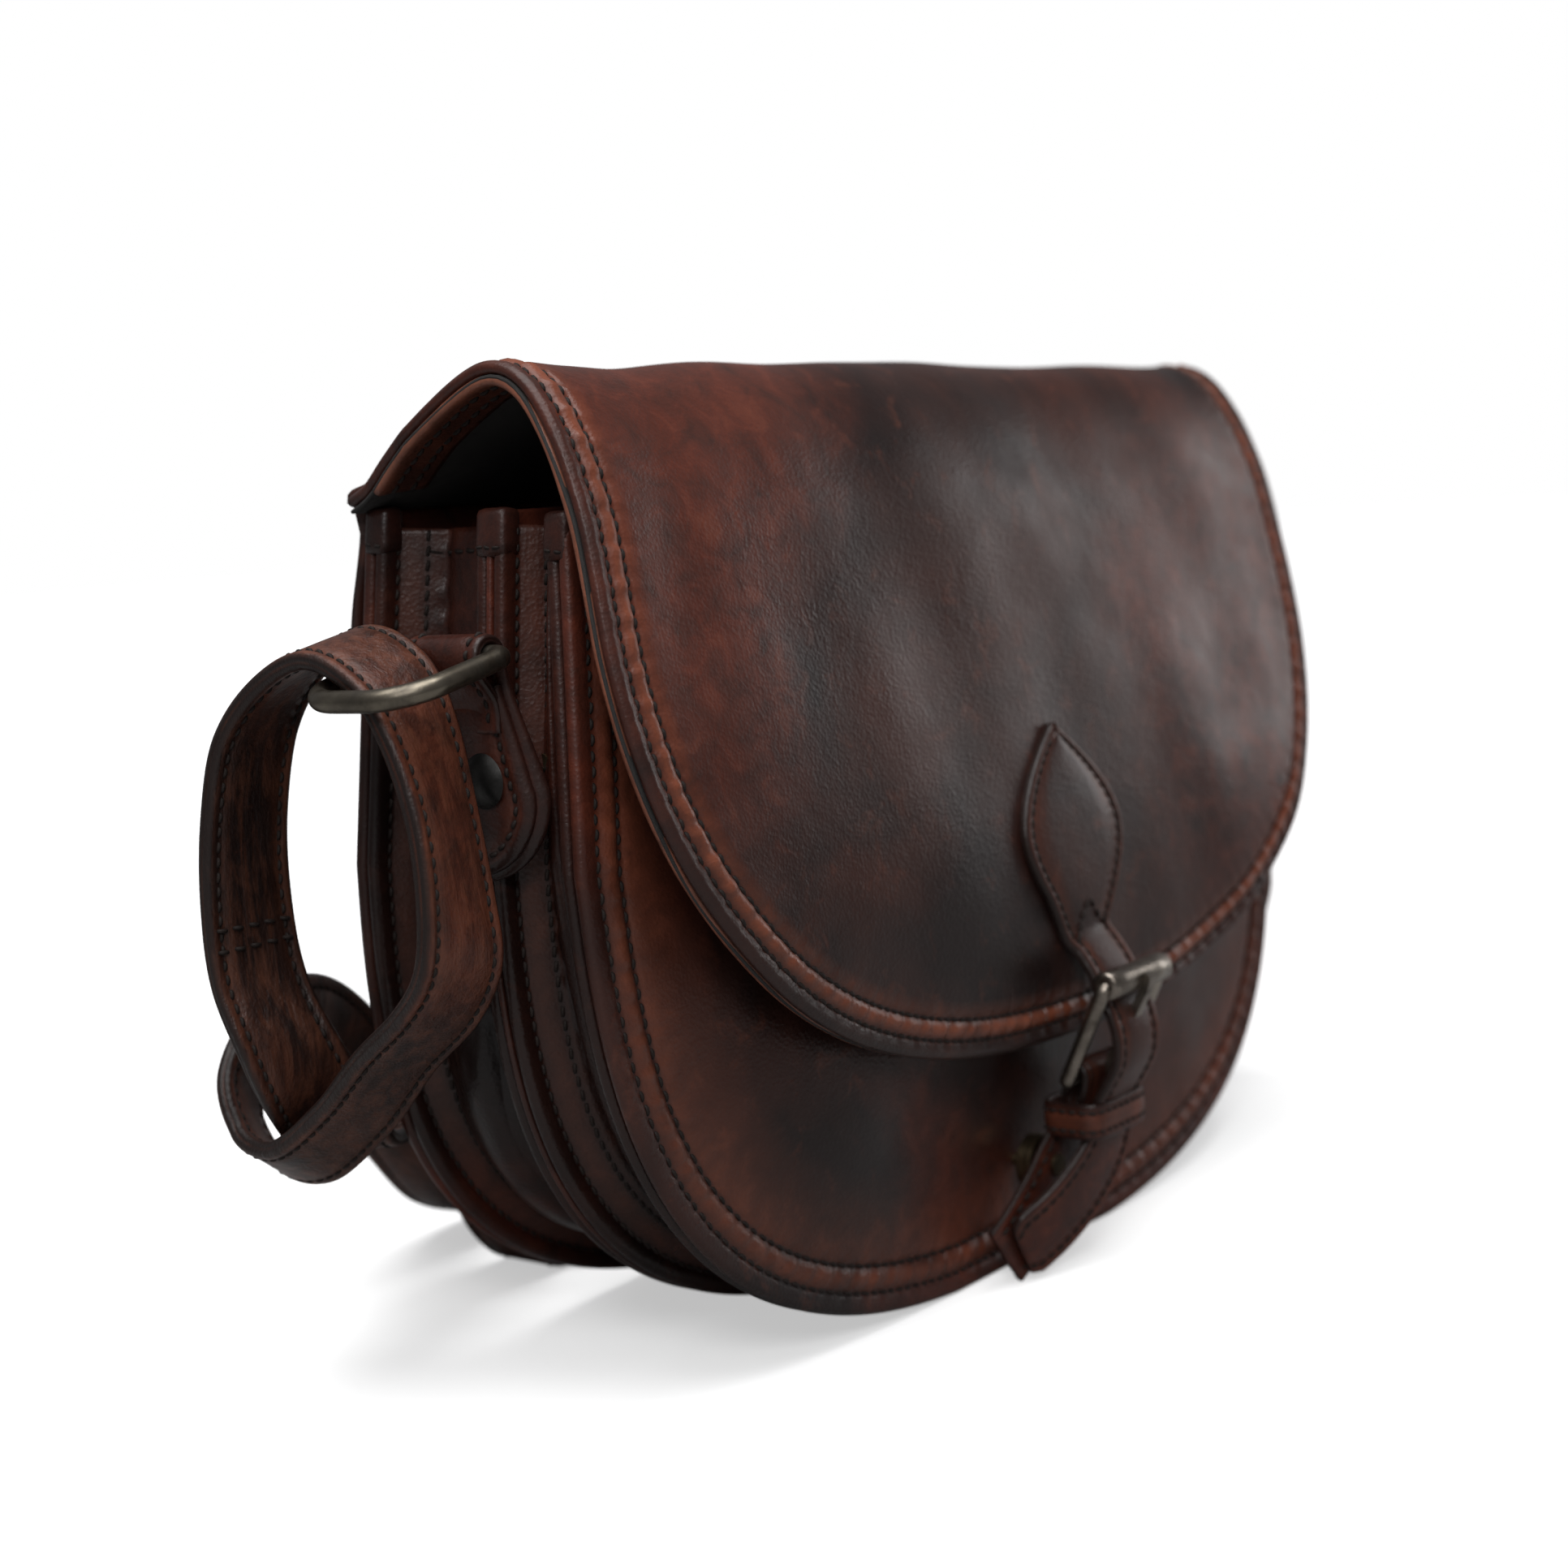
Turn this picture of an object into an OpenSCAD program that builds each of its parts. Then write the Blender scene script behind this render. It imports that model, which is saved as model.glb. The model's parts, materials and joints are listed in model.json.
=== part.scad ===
// Leather shoulder bag in saddle-bag style.
// Two compartments, an arched flap, a buckled closure strap and a shoulder strap on two rings.
// Frame: +X is the bag's width, -Y its front, +Z up. The origin is on the resting plane,
// under the middle of the bag. Millimetres.

/* [Body] */
// Widest width of the bag body across the seam edges
bag_w = 295; // [280:1:310]
// Height at which the body is widest
widest_z = 121; // [112:1:130]
// How much each side draws in from the widest height to the top
top_draw = 9; // [4:1:14]
// Exponent of the rounded lower outline (2 is an ellipse)
outline_power = 2.77; // [2.5:0.01:3.2]
// Height of the back panel's top edge
back_top = 198.6; // [196:0.2:200]
// Height of the divider's top edge
divider_top = 196.6; // [190:0.2:198]
// Height of the front panel's top edge
front_top = 195; // [190:0.5:197]
// Stuffed crown of the front panel
front_crown = 11; // [4:0.5:12]

/* [Leather] */
// Thickness of the front and back panels at their seams
panel_t = 3.4; // [2.8:0.1:3.8]
// Thickness of the turned-out gusset edges
lip_t = 3.4; // [2.8:0.1:3.6]
// Height of the seam edges above the gusset's surface
lip_h = 5.2; // [4:0.1:6]
// Thickness of the gusset
gusset_t = 2.2; // [1.6:0.1:2.6]
// Thickness of the divider between the compartments
divider_t = 1.6; // [1.2:0.1:2]
// Thickness of the lining cloth
lining_t = 0.8; // [0.6:0.1:1]

/* [Flap] */
// Half of the flap's width over the front
flap_half_w = 147.5; // [140:0.5:148]
// Height of the flap's lowest edge
flap_bottom = 59; // [55:1:64]
// Height of the rounded part of the flap's front
flap_round_h = 109; // [95:1:120]
// Thickness of the flap's outer leather
flap_t = 2.4; // [1.8:0.1:2.6]
// Width of the facing leather along the flap's edge
facing_w = 14; // [10:1:18]

/* [Hardware] */
// Width of the shoulder strap
strap_w = 21.7; // [20:0.1:22]
// Thickness of one of the shoulder strap's two layers
strap_layer_t = 1.8; // [1.4:0.1:1.9]
// Wire radius of the D-rings
ring_wire_r = 2.35; // [2:0.05:2.4]
// How far the rings hang below the horizontal
ring_drop = 12; // [8:1:14]
// Width of the closure strap in the buckle
billet_w = 20; // [18:0.5:20]
// Radial clearance of a bar in its loop or roller
running_gap = 0.08; // [0.04:0.01:0.1]

/* [Hidden] */
$fn = 48;

seam_gap = 0.1;             // air left between two sewn pieces
big = 400;                  // longer than the bag in any direction
plane_h = 200;              // height between the two stated ends of a tilted plane
back_y_low = 42.7;          // outer face of the back panel at z = 0
back_y_high = 35.1;         // the same at plane_h
front_y_low = -40.5;        // outer face of the front panel at z = 0
front_y_high = -26.2;       // the same at plane_h
divider_y = -4;             // middle plane of the divider
half_w = bag_w / 2;
base_flat = 0.6;            // depth the round bottom is cut to a flat
curve_h = widest_z + base_flat;
side_lean = atan(top_draw / (front_top - widest_z));
gusset_in = lip_h + gusset_t;

leather = [0.23, 0.12, 0.09];
worn = [0.33, 0.18, 0.12];
dark_edge = [0.10, 0.07, 0.06];
cloth = [0.10, 0.09, 0.09];
old_brass = [0.38, 0.34, 0.27];
nickel = [0.55, 0.53, 0.48];
gunmetal = [0.16, 0.16, 0.15];

// ---- outlines of the bag body ----

function plane_y(low, high, z) = low + (high - low) * z / plane_h;
function back_y(z) = plane_y(back_y_low, back_y_high, z);
function front_y(z) = plane_y(front_y_low, front_y_high, z);

// Point t (0 at the widest height, 90 at the bottom) of the right side, moved in by d.
function rim_point(t, d) =
    let (e = 2 / outline_power,
         x = half_w * pow(cos(t), e),
         v = curve_h * pow(sin(t), e),
         nx = pow(x / half_w, outline_power - 1) / half_w,
         nv = pow(v / curve_h, outline_power - 1) / curve_h,
         len = norm([nx, nv]))
    [x - d * nx / len, max(d, widest_z - v + d * nv / len)];

rim_steps = 26;
rim_t_end = 84.5;           // the rest of the bottom is the flat
function side_points(d, top) =
    concat([[half_w - top_draw * (top - widest_z) / (front_top - widest_z) - d / cos(side_lean), top]],
           [for (i = [0:rim_steps]) rim_point(rim_t_end * i / rim_steps, d)]);
function mirrored(points) = [for (i = [len(points) - 1:-1:0]) [-points[i][0], points[i][1]]];
function outline(d, top) = concat(side_points(d, top), mirrored(side_points(d, top)));

module upright(y_rear) {
    translate([0, y_rear, 0])
        rotate([90, 0, 0])
            linear_extrude(y_rear + big / 2)
                children();
}

module slab(low_a, high_a, low_b, high_b) {
    below = -20;
    above = 280;
    rotate([90, 0, 90])
        translate([0, 0, -big / 2])
            linear_extrude(big)
                polygon([[plane_y(low_a, high_a, below), below],
                         [plane_y(low_a, high_a, above), above],
                         [plane_y(low_b, high_b, above), above],
                         [plane_y(low_b, high_b, below), below]]);
}

// A plate with the bag's outline moved in by d, between y offsets measured on two planes.
module body_plate(d, top, low_a, high_a, low_b, high_b) {
    intersection() {
        upright(big / 2)
            polygon(outline(d, top));
        slab(low_a, high_a, low_b, high_b);
    }
}

module back_panel() {
    color(leather)
        body_plate(0, back_top, back_y_low - panel_t, back_y_high - panel_t, back_y_low, back_y_high);
}

module divider_panel() {
    color(leather)
        body_plate(0, divider_top, divider_y - divider_t / 2, divider_y - divider_t / 2,
                   divider_y + divider_t / 2, divider_y + divider_t / 2);
}

// One gusset: a U-shaped band with both of its long edges turned outwards.
module gusset(top, low_a, high_a, low_b, high_b) {
    difference() {
        body_plate(0, top, low_a, high_a, low_b, high_b);
        body_plate(gusset_in, top + 1, low_a - 1, high_a - 1, low_b + 1, high_b + 1);
        difference() {
            body_plate(-2, top + 1, low_a + lip_t, high_a + lip_t, low_b - lip_t, high_b - lip_t);
            upright(big / 2)
                polygon(outline(lip_h, top + 2));
        }
    }
}

rear_flange_y = divider_y + divider_t / 2 + seam_gap;
front_flange_y = divider_y - divider_t / 2 - seam_gap;
back_inner = panel_t + seam_gap;

module rear_gusset() {
    color(leather)
        gusset(divider_top - 1.6, rear_flange_y, rear_flange_y,
               back_y_low - back_inner, back_y_high - back_inner);
}

module front_gusset() {
    color(leather)
        difference() {
            gusset(front_top - 1, front_y_low + back_inner, front_y_high + back_inner,
                   front_flange_y, front_flange_y);
            both_sides()
                rivet_hole(0.15);
        }
}

// A lining bag: closed all round, open at the top.
module lining_bag(top, low_a, high_a, low_b, high_b) {
    g = seam_gap;
    t = lining_t + seam_gap;
    difference() {
        body_plate(gusset_in + g, top, low_a + g, high_a + g, low_b - g, high_b - g);
        body_plate(gusset_in + t, top + 1, low_a + t, high_a + t, low_b - t, high_b - t);
    }
}

rear_lining_top = divider_top - 5;
front_lining_top = front_top - 4;

module rear_lining() {
    color(cloth)
        lining_bag(rear_lining_top, divider_y + divider_t / 2, divider_y + divider_t / 2,
                   back_y_low - panel_t, back_y_high - panel_t);
}

module front_lining() {
    color(cloth)
        difference() {
            lining_bag(front_lining_top, front_y_low + panel_t, front_y_high + panel_t,
                       divider_y - divider_t / 2, divider_y - divider_t / 2);
            both_sides()
                rivet_hole(0.15);
        }
}

// ---- crowned front panel ----

crown_z = 84;                                   // height of the crown's middle
crown_edge = 0.93;                              // the crown starts this far out from the middle
crown_rings = [1, crown_edge, 0.84, 0.72, 0.56, 0.38, 0.19];
panel_rim = outline(0, front_top);
rim_n = len(panel_rim);

function crown_at(s) = s >= crown_edge ? 0 : front_crown * (1 - pow(s / crown_edge, 2));
function crown_point(p, s, back) =
    let (z = crown_z + (p[1] - crown_z) * s)
    [p[0] * s, front_y(z) - crown_at(s) + back, z];
function crown_sheet(back) =
    concat([for (s = crown_rings) each [for (p = panel_rim) crown_point(p, s, back)]],
           [[0, front_y(crown_z) - front_crown + back, crown_z]]);
sheet_n = rim_n * len(crown_rings) + 1;
function sheet_faces(start, flip) =
    concat([for (k = [0:len(crown_rings) - 2]) each [for (i = [0:rim_n - 1])
                let (a = start + k * rim_n + i,
                     b = start + k * rim_n + (i + 1) % rim_n,
                     c = b + rim_n,
                     d = a + rim_n)
                each (flip ? [[a, c, b], [a, d, c]] : [[a, b, c], [a, c, d]])]],
           [for (i = [0:rim_n - 1])
                let (a = start + (len(crown_rings) - 1) * rim_n + i,
                     b = start + (len(crown_rings) - 1) * rim_n + (i + 1) % rim_n,
                     c = start + sheet_n - 1)
                flip ? [a, c, b] : [a, b, c]]);
function rim_faces() =
    [for (i = [0:rim_n - 1])
        let (j = (i + 1) % rim_n)
        each [[i, sheet_n + j, j], [i, sheet_n + i, sheet_n + j]]];

module front_panel() {
    color(leather)
        difference() {
            polyhedron(concat(crown_sheet(0), crown_sheet(panel_t)),
                       concat(sheet_faces(0, false), sheet_faces(sheet_n, true), rim_faces()));
            translate([snap_x, 0, snap_z])
                rotate([90, 0, 0])
                    cylinder(r = snap_post_r + 0.2, h = big, center = false);
        }
}

// ---- magnetic snap ----

snap_x = -9;
snap_z = 27;
snap_r = 7;
snap_y = -45.4;             // back face of the snap's socket, in front of the crowned panel
snap_post_r = 1.5;
socket_t = 2.4;
magnet_r = 5;
magnet_t = 1.2;
stud_t = 1.5;
pip_r = 2;                  // raised pip in the middle of the stud
pip_h = 0.8;
post_reach = 6.9;           // the post passes the panel and the washer behind it
washer_r = 4;
stud_post_r = 1.2;

module front_disc(r, y_rear, t) {
    translate([snap_x, y_rear, snap_z])
        rotate([90, 0, 0])
            cylinder(r = r, h = t);
}

module snap_socket() {
    color(old_brass)
        difference() {
            union() {
                front_disc(snap_r, snap_y, socket_t);
                front_disc(snap_post_r, snap_y + post_reach, post_reach + 0.5);
            }
            front_disc(magnet_r + seam_gap, snap_y - socket_t + magnet_t + seam_gap, magnet_t + 1);
        }
}

module snap_magnet() {
    color(gunmetal)
        difference() {
            front_disc(magnet_r, snap_y - socket_t + magnet_t, magnet_t);
            front_disc(pip_r + 0.8, snap_y, big);
        }
}

module snap_washer() {
    color(old_brass)
        difference() {
            front_disc(washer_r, snap_y + post_reach, 1);
            front_disc(snap_post_r + 0.05, snap_y + post_reach + 1, 4);
        }
}

stud_face = snap_y - socket_t - 0.2;

module snap_stud() {
    color(old_brass) {
        front_disc(snap_r, stud_face, stud_t);
        front_disc(pip_r, stud_face + pip_h, pip_h + 0.5);
        front_disc(stud_post_r, stud_face - stud_t + 0.5, 4.5);
        front_disc(stud_post_r + 1.6, stud_face - stud_t - 3.5, 0.8);
    }
}

// ---- inside pockets and zip ----

back_lean = atan((back_y_low - back_y_high) / plane_h);
zip_z = 158;
zip_len = 170;
tape_h = 26;
tape_t = 0.8;
teeth_h = 4.6;
teeth_t = 1.6;
tooth_pitch = 5;
slider_x = -62;             // rest place of the slider
slider_w = 8;
lining_face = back_inner + lining_t + seam_gap;

module on_back_lining() {
    translate([0, back_y(zip_z) - lining_face - 0.1, zip_z])
        rotate([back_lean, 0, 0])
            children();
}

module box(x0, x1, y0, y1, z0, z1) {
    translate([x0, y0, z0])
        cube([x1 - x0, y1 - y0, z1 - z0]);
}

module zip_tape() {
    color(cloth)
        on_back_lining()
            box(-zip_len / 2 - 6, zip_len / 2 + 6, -tape_t, 0, -tape_h / 2, tape_h / 2);
}

module zip_teeth() {
    color(old_brass)
        on_back_lining()
            translate([0, -tape_t - 0.1, 0]) {
                box(-zip_len / 2, zip_len / 2, -teeth_t + 0.4, 0, -teeth_h / 4, teeth_h / 4);
                for (x = [-zip_len / 2:tooth_pitch:zip_len / 2 - 2])
                    box(x, x + 2.2, -teeth_t, 0, -teeth_h / 2, teeth_h / 2);
            }
}

slider_back = -tape_t - 0.2;
slider_cover = 1.2;
pin_y = slider_back - teeth_t - slider_cover - 1.3;
pin_r = 0.6;

module zip_slider() {
    color(old_brass)
        on_back_lining()
            translate([slider_x, 0, 0]) {
                difference() {
                    box(0, slider_w, slider_back - teeth_t - slider_cover, slider_back,
                        -teeth_h / 2 - 1.6, teeth_h / 2 + 1.6);
                    box(-1, slider_w + 1, slider_back - teeth_t - 0.15, 1,
                        -teeth_h / 2 - 0.2, teeth_h / 2 + 0.2);
                }
                for (x = [0.6, slider_w - 2])
                    box(x, x + 1.4, pin_y - 1, slider_back - teeth_t - slider_cover + 0.2, -1.2, 1.2);
                translate([0.7, pin_y, 0])
                    rotate([0, 90, 0])
                        cylinder(r = pin_r, h = slider_w - 1.4);
            }
}

puller_len = 24;

module zip_puller() {
    color(old_brass)
        on_back_lining()
            translate([slider_x + slider_w / 2, pin_y, 0])
                rotate([0, 90, 0])
                    difference() {
                        translate([0, 0, -1.8])
                            linear_extrude(3.6)
                                union() {
                                    circle(r = 1.3);
                                    translate([0, -0.6])
                                        square([puller_len, 1.2]);
                                }
                        cylinder(r = pin_r + running_gap, h = 10, center = true);
                    }
}

pocket_half_w = 78;
pocket_low = 78;
pocket_high = 168;

module slip_pocket() {
    color(cloth)
        box(-pocket_half_w, pocket_half_w,
            divider_y + divider_t / 2 + lining_t + 2 * seam_gap,
            divider_y + divider_t / 2 + 2 * lining_t + 2 * seam_gap, pocket_low, pocket_high);
}

// ---- ring tabs, rivets and D-rings (drawn on the left, mirrored to the right) ----

tab_y = -5;
tab_layer = 2.2;
tab_x = half_w + 0.6;                    // inner face of the tab, just outside the seam edges
bar_z = 167;
bore_r = ring_wire_r + running_gap;
bar_x = tab_x + tab_layer + bore_r;
paddle_z = 136;
paddle_r = 17;
tab_half_w = 11;
shoulder_z = 162;
front_inset = 3.4;

module paddle(r, w) {
    rise = shoulder_z - paddle_z;
    a = atan2(rise, w) - acos(r / norm([w, rise]));
    union() {
        translate([0, paddle_z])
            circle(r = r);
        polygon([[-w, bar_z + 9], [-w, shoulder_z], [-r * cos(a), paddle_z + r * sin(a)],
                 [r * cos(a), paddle_z + r * sin(a)], [w, shoulder_z], [w, bar_z + 9]]);
    }
}

module tab_cut(r, w) {
    translate([-big / 2, tab_y, 0])
        rotate([90, 0, 90])
            linear_extrude(big)
                paddle(r, w);
}

rivet_y = -10.4;
rivet_z = 141;
cap_r = 5.9;
post_r = 1.6;

module rivet_hole(extra) {
    translate([-big / 2, rivet_y, rivet_z])
        rotate([0, 90, 0])
            cylinder(r = post_r + extra, h = big / 2);
}

module ring_tab() {
    outer_r = bore_r + tab_layer;
    low = 110;
    difference() {
        union() {
            intersection() {
                upright(big / 2)
                    union() {
                        translate([-tab_x - tab_layer, low])
                            square([tab_layer, bar_z - low]);
                        intersection() {
                            translate([-bar_x, bar_z])
                                circle(r = outer_r);
                            translate([-bar_x - outer_r, bar_z])
                                square([2 * outer_r, 2 * outer_r]);
                        }
                    }
                tab_cut(paddle_r, tab_half_w);
            }
            intersection() {
                upright(big / 2)
                    polygon([[-bar_x - outer_r, bar_z + 0.01], [-bar_x, bar_z + 0.01],
                             [-bar_x - bore_r, bar_z - 2], [-tab_x - tab_layer, 152], [-tab_x - tab_layer, low],
                             [-tab_x - 2 * tab_layer, low], [-tab_x - 2 * tab_layer, 152.6],
                             [-bar_x - outer_r, bar_z - 2]]);
                tab_cut(paddle_r - front_inset, tab_half_w);
            }
        }
        translate([-bar_x, 0, bar_z])
            rotate([90, 0, 0])
                cylinder(r = bore_r, h = 80, center = true);
        rivet_hole(0.15);
    }
}

module ring_tab_left() {
    color(leather)
        ring_tab();
}

module ring_tab_right() {
    color(leather)
        mirror([1, 0, 0])
            ring_tab();
}

cap_x = tab_x + 2 * tab_layer;
cap_t = 2.4;
washer_x = half_w - 12.7;               // clear of the leaning lining

module tab_rivet() {
    dome_r = (cap_r * cap_r + cap_t * cap_t) / (2 * cap_t);
    intersection() {
        translate([-cap_x - cap_t + dome_r, rivet_y, rivet_z])
            sphere(r = dome_r);
        translate([-cap_x - cap_t - 1, rivet_y, rivet_z])
            rotate([0, 90, 0])
                cylinder(r = cap_r, h = cap_t + 1);
    }
    translate([-cap_x - 0.2, rivet_y, rivet_z])
        rotate([0, 90, 0])
            cylinder(r = post_r, h = cap_x + 0.2 - washer_x);
}

module both_sides() {
    children();
    mirror([1, 0, 0])
        children();
}

module tab_rivets() {
    color(gunmetal)
        both_sides()
            tab_rivet();
}

module tab_washers() {
    color(old_brass)
        both_sides()
            translate([-washer_x - 1, rivet_y, rivet_z])
                rotate([0, 90, 0])
                    difference() {
                        cylinder(r = 4, h = 1);
                        translate([0, 0, -1])
                            cylinder(r = post_r + 0.05, h = 3);
                    }
}

ring_half = 15.35;          // half the spacing of the ring's two legs, centre to centre
ring_deep = 30.2;           // bar to outer end, centre to centre
inner_bend = 3.2;
outer_bend = 11;

module wire(from, to, r) {
    reach = to - from;
    translate(from)
        rotate([0, acos(reach[2] / norm(reach)), atan2(reach[1], reach[0])])
            cylinder(r = r, h = norm(reach));
}

module bend(centre, start, bend_r, r) {
    translate(centre)
        rotate([0, 0, start])
            rotate_extrude(angle = 90)
                translate([bend_r, 0])
                    circle(r = r);
}

module d_ring() {
    w = ring_half;
    e = ring_deep;
    r = ring_wire_r;
    wire([0, -w + inner_bend, 0], [0, w - inner_bend, 0], r);
    bend([inner_bend, w - inner_bend, 0], 90, inner_bend, r);
    bend([inner_bend, -w + inner_bend, 0], 180, inner_bend, r);
    wire([inner_bend, w, 0], [e - outer_bend, w, 0], r);
    wire([inner_bend, -w, 0], [e - outer_bend, -w, 0], r);
    bend([e - outer_bend, w - outer_bend, 0], 0, outer_bend, r);
    bend([e - outer_bend, -w + outer_bend, 0], 270, outer_bend, r);
    wire([e, -w + outer_bend, 0], [e, w - outer_bend, 0], r);
}

module placed_ring() {
    translate([-bar_x, tab_y, bar_z])
        rotate([0, 180 - ring_drop, 0])
            d_ring();
}

module d_ring_left() {
    color(old_brass)
        placed_ring();
}

module d_ring_right() {
    color(old_brass)
        mirror([1, 0, 0])
            placed_ring();
}

// ---- smooth curves and swept strips ----

function curve(a, b, c, d, t) =
    0.5 * ((2 * b) + (c - a) * t + (2 * a - 5 * b + 4 * c - d) * t * t + (3 * b - a - 3 * c + d) * t * t * t);
function clamp_at(p, i) = p[max(0, min(len(p) - 1, i))];
function smooth(p, n) =
    concat([for (i = [0:len(p) - 2]) each [for (j = [0:n - 1])
               curve(clamp_at(p, i - 1), p[i], p[i + 1], clamp_at(p, i + 2), j / n)]],
           [p[len(p) - 1]]);
function unit(v) = v / norm(v);
function place(p) = [p[0], p[1], p[2]];
function across(p) = [p[3], p[4], p[5]];
function heading(p, i) = unit(place(clamp_at(p, i + 1)) - place(clamp_at(p, i - 1)));

// One cross-section of a strip: its centre, its width direction and two offsets from its middle.
function section(p, i, w, low, high, pull) =
    let (t = heading(p, i),
         s = unit(across(p[i]) - t * (across(p[i]) * t)),
         n = cross(t, s),
         c = place(p[i]) + t * pull)
    [c - s * w / 2 + n * low, c + s * w / 2 + n * low, c + s * w / 2 + n * high, c - s * w / 2 + n * high];

module strip(p, from, to, w, low, high) {
    count = to - from + 1;
    end_gap = 0.2;
    rings = [for (i = [from:to])
                each section(p, i, w, low, high, i == from ? end_gap : i == to ? -end_gap : 0)];
    // The two wide faces are split along the same diagonal, so that stacked layers stay parallel.
    sides = [for (i = [0:count - 2]) each [for (k = [0:3])
                let (a = 4 * i + k,
                     b = 4 * i + (k + 1) % 4)
                each (k == 2 ? [[a, a + 4, b], [a + 4, b + 4, b]] : [[a, b + 4, b], [a, a + 4, b + 4]])]];
    last = 4 * (count - 1);
    ends = [[0, 1, 2], [0, 2, 3], [last, last + 2, last + 1], [last, last + 3, last + 2]];
    polyhedron(rings, concat(sides, ends));
}

// ---- flap ----

hinge_y = 36.8;
hinge_z = 200.6;
bead_r = 1.7;
inner_start_y = 27;         // the inner layers stop short of the hinge
layer_gap = 0.1;
facing_t = 2.2;
flap_lining_t = 1;
flap_round_power = 2.31;
flap_top_draw = 3.2;
flap_top_z = 228;
flap_round_z = flap_bottom + flap_round_h;

// Side profile of the flap's outer face, from the hinge over the arch to the lower edge.
flap_arch = smooth([[hinge_y, hinge_z + 1.2], [30, 204.4], [21.7, 210], [8, 218.3], [-3.6, 224.2],
                    [-11.8, 226.4], [-19, 225], [-25.6, 220], [-32, 211], [-36.8, 201], [-40.8, 189],
                    [-45.6, 165], [-50.4, 140], [-54.8, 113], [-56.4, 90], [-55.6, flap_bottom - 2]], 3);

function arch_normal(i) =
    let (t = unit(clamp_at(flap_arch, i + 1) - clamp_at(flap_arch, i - 1)))
    [t[1], -t[0]];
function arch_offset(d) = [for (i = [0:len(flap_arch) - 1]) flap_arch[i] - arch_normal(i) * d];
function reversed(p) = [for (i = [len(p) - 1:-1:0]) p[i]];

module arch_layer(outer, inner) {
    rotate([90, 0, 90])
        translate([0, 0, -big / 2])
            linear_extrude(big)
                polygon(concat(arch_offset(outer), reversed(arch_offset(inner))));
}

function flap_rim_point(t, d) =
    let (e = 2 / flap_round_power,
         x = flap_half_w * pow(cos(t), e),
         v = flap_round_h * pow(sin(t), e),
         nx = pow(x / flap_half_w, flap_round_power - 1) / flap_half_w,
         nv = pow(v / flap_round_h, flap_round_power - 1) / flap_round_h,
         len = norm([nx, nv]))
    [x - d * nx / len, flap_round_z - v + d * nv / len];
flap_steps = 26;
function flap_side(d) =
    concat([[flap_half_w - flap_top_draw - d, flap_top_z]],
           [for (i = [0:flap_steps]) flap_rim_point(90 * i / flap_steps, d)]);
function flap_outline(d) =
    let (side = flap_side(d))
    concat(side, [for (i = [len(side) - 2:-1:0]) [-side[i][0], side[i][1]]]);

module flap_plan() {
    straight_y = 0;
    rear_y = 41;
    rear_half_w = 140.5;
    wide = 160;
    translate([0, 0, -1])
        linear_extrude(big)
            polygon([[-wide, -big / 2], [-wide, straight_y - 10], [-flap_half_w - 1, straight_y],
                     [-rear_half_w, rear_y], [rear_half_w, rear_y], [flap_half_w + 1, straight_y],
                     [wide, straight_y - 10], [wide, -big / 2]]);
}

module flap_sheet(outer, inner, d) {
    intersection() {
        arch_layer(outer, inner);
        upright(big / 2)
            polygon(flap_outline(d));
        flap_plan();
    }
}

module before_hinge() {
    translate([-big / 2, inner_start_y - big, 0])
        cube(big);
}

module flap_outer() {
    bead_half = 139.5;
    color(leather) {
        flap_sheet(0, flap_t, 0);
        translate([-bead_half, hinge_y, hinge_z])
            rotate([0, 90, 0])
                cylinder(r = bead_r, h = 2 * bead_half);
    }
}

module flap_facing() {
    color(worn)
        intersection() {
            difference() {
                flap_sheet(flap_t + layer_gap, flap_t + layer_gap + facing_t, 0);
                upright(big / 2)
                    polygon(flap_outline(facing_w));
            }
            before_hinge();
        }
}

module flap_lining() {
    color(cloth)
        intersection() {
            flap_sheet(flap_t + layer_gap, flap_t + layer_gap + flap_lining_t, facing_w + layer_gap);
            before_hinge();
        }
}

// ---- closure: leaf patch, buckle and keeper ----

leaf_t = 2.2;
bend_z = 90;                // the closure strap bends here when it is lifted
bend_y = -57.6;
leaf_tip = 136;
leaf_wide_z = 110;
leaf_half_w = 22;
leaf_neck_z = 80;
leaf_gap = 1.3;             // air between the patch and the strap's bead at the bend
closure_x = 2;

function leaf_width(z) =
    z > leaf_wide_z
        ? leaf_half_w * (1 - pow((z - leaf_wide_z) / (leaf_tip - leaf_wide_z), 1.7))
        : billet_w / 2 + (leaf_half_w - billet_w / 2) *
          (0.5 + 0.5 * cos(180 * (leaf_wide_z - z) / (leaf_wide_z - leaf_neck_z)));
leaf_steps = 16;
leaf_low = bend_z + leaf_gap;
function leaf_side(sign) =
    [for (i = [0:leaf_steps - 1])
        let (z = leaf_low + (leaf_tip - leaf_low) * i / leaf_steps)
        [sign * leaf_width(z), z]];

module leaf_patch() {
    color(leather)
        intersection() {
            arch_layer(-layer_gap, -layer_gap - leaf_t);
            upright(big / 2)
                polygon(concat(leaf_side(1), [[0, leaf_tip]], reversed(leaf_side(-1))));
        }
}

heel = [-59, 49.5];         // [y, z] of the buckle's heel bar
roller_at = [-71, 73.5];    // [y, z] of the buckle's roller
buckle_len = norm(roller_at - heel);
heel_r = 1.6;
axle_r = 1.5;
side_r = 1.9;
roller_r = 3.2;
frame_half = 13.4;
buckle_lean = atan2(heel[0] - roller_at[0], roller_at[1] - heel[1]);

// Local frame of a buckle: heel bar along X at the origin, roller at +Z, outer face towards -Y.
module on_buckle() {
    translate([closure_x, heel[0], heel[1]])
        rotate([buckle_lean, 0, 0])
            children();
}

module x_bar(half, r, z) {
    translate([-half, 0, z])
        rotate([0, 90, 0])
            cylinder(r = r, h = 2 * half);
}

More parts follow.
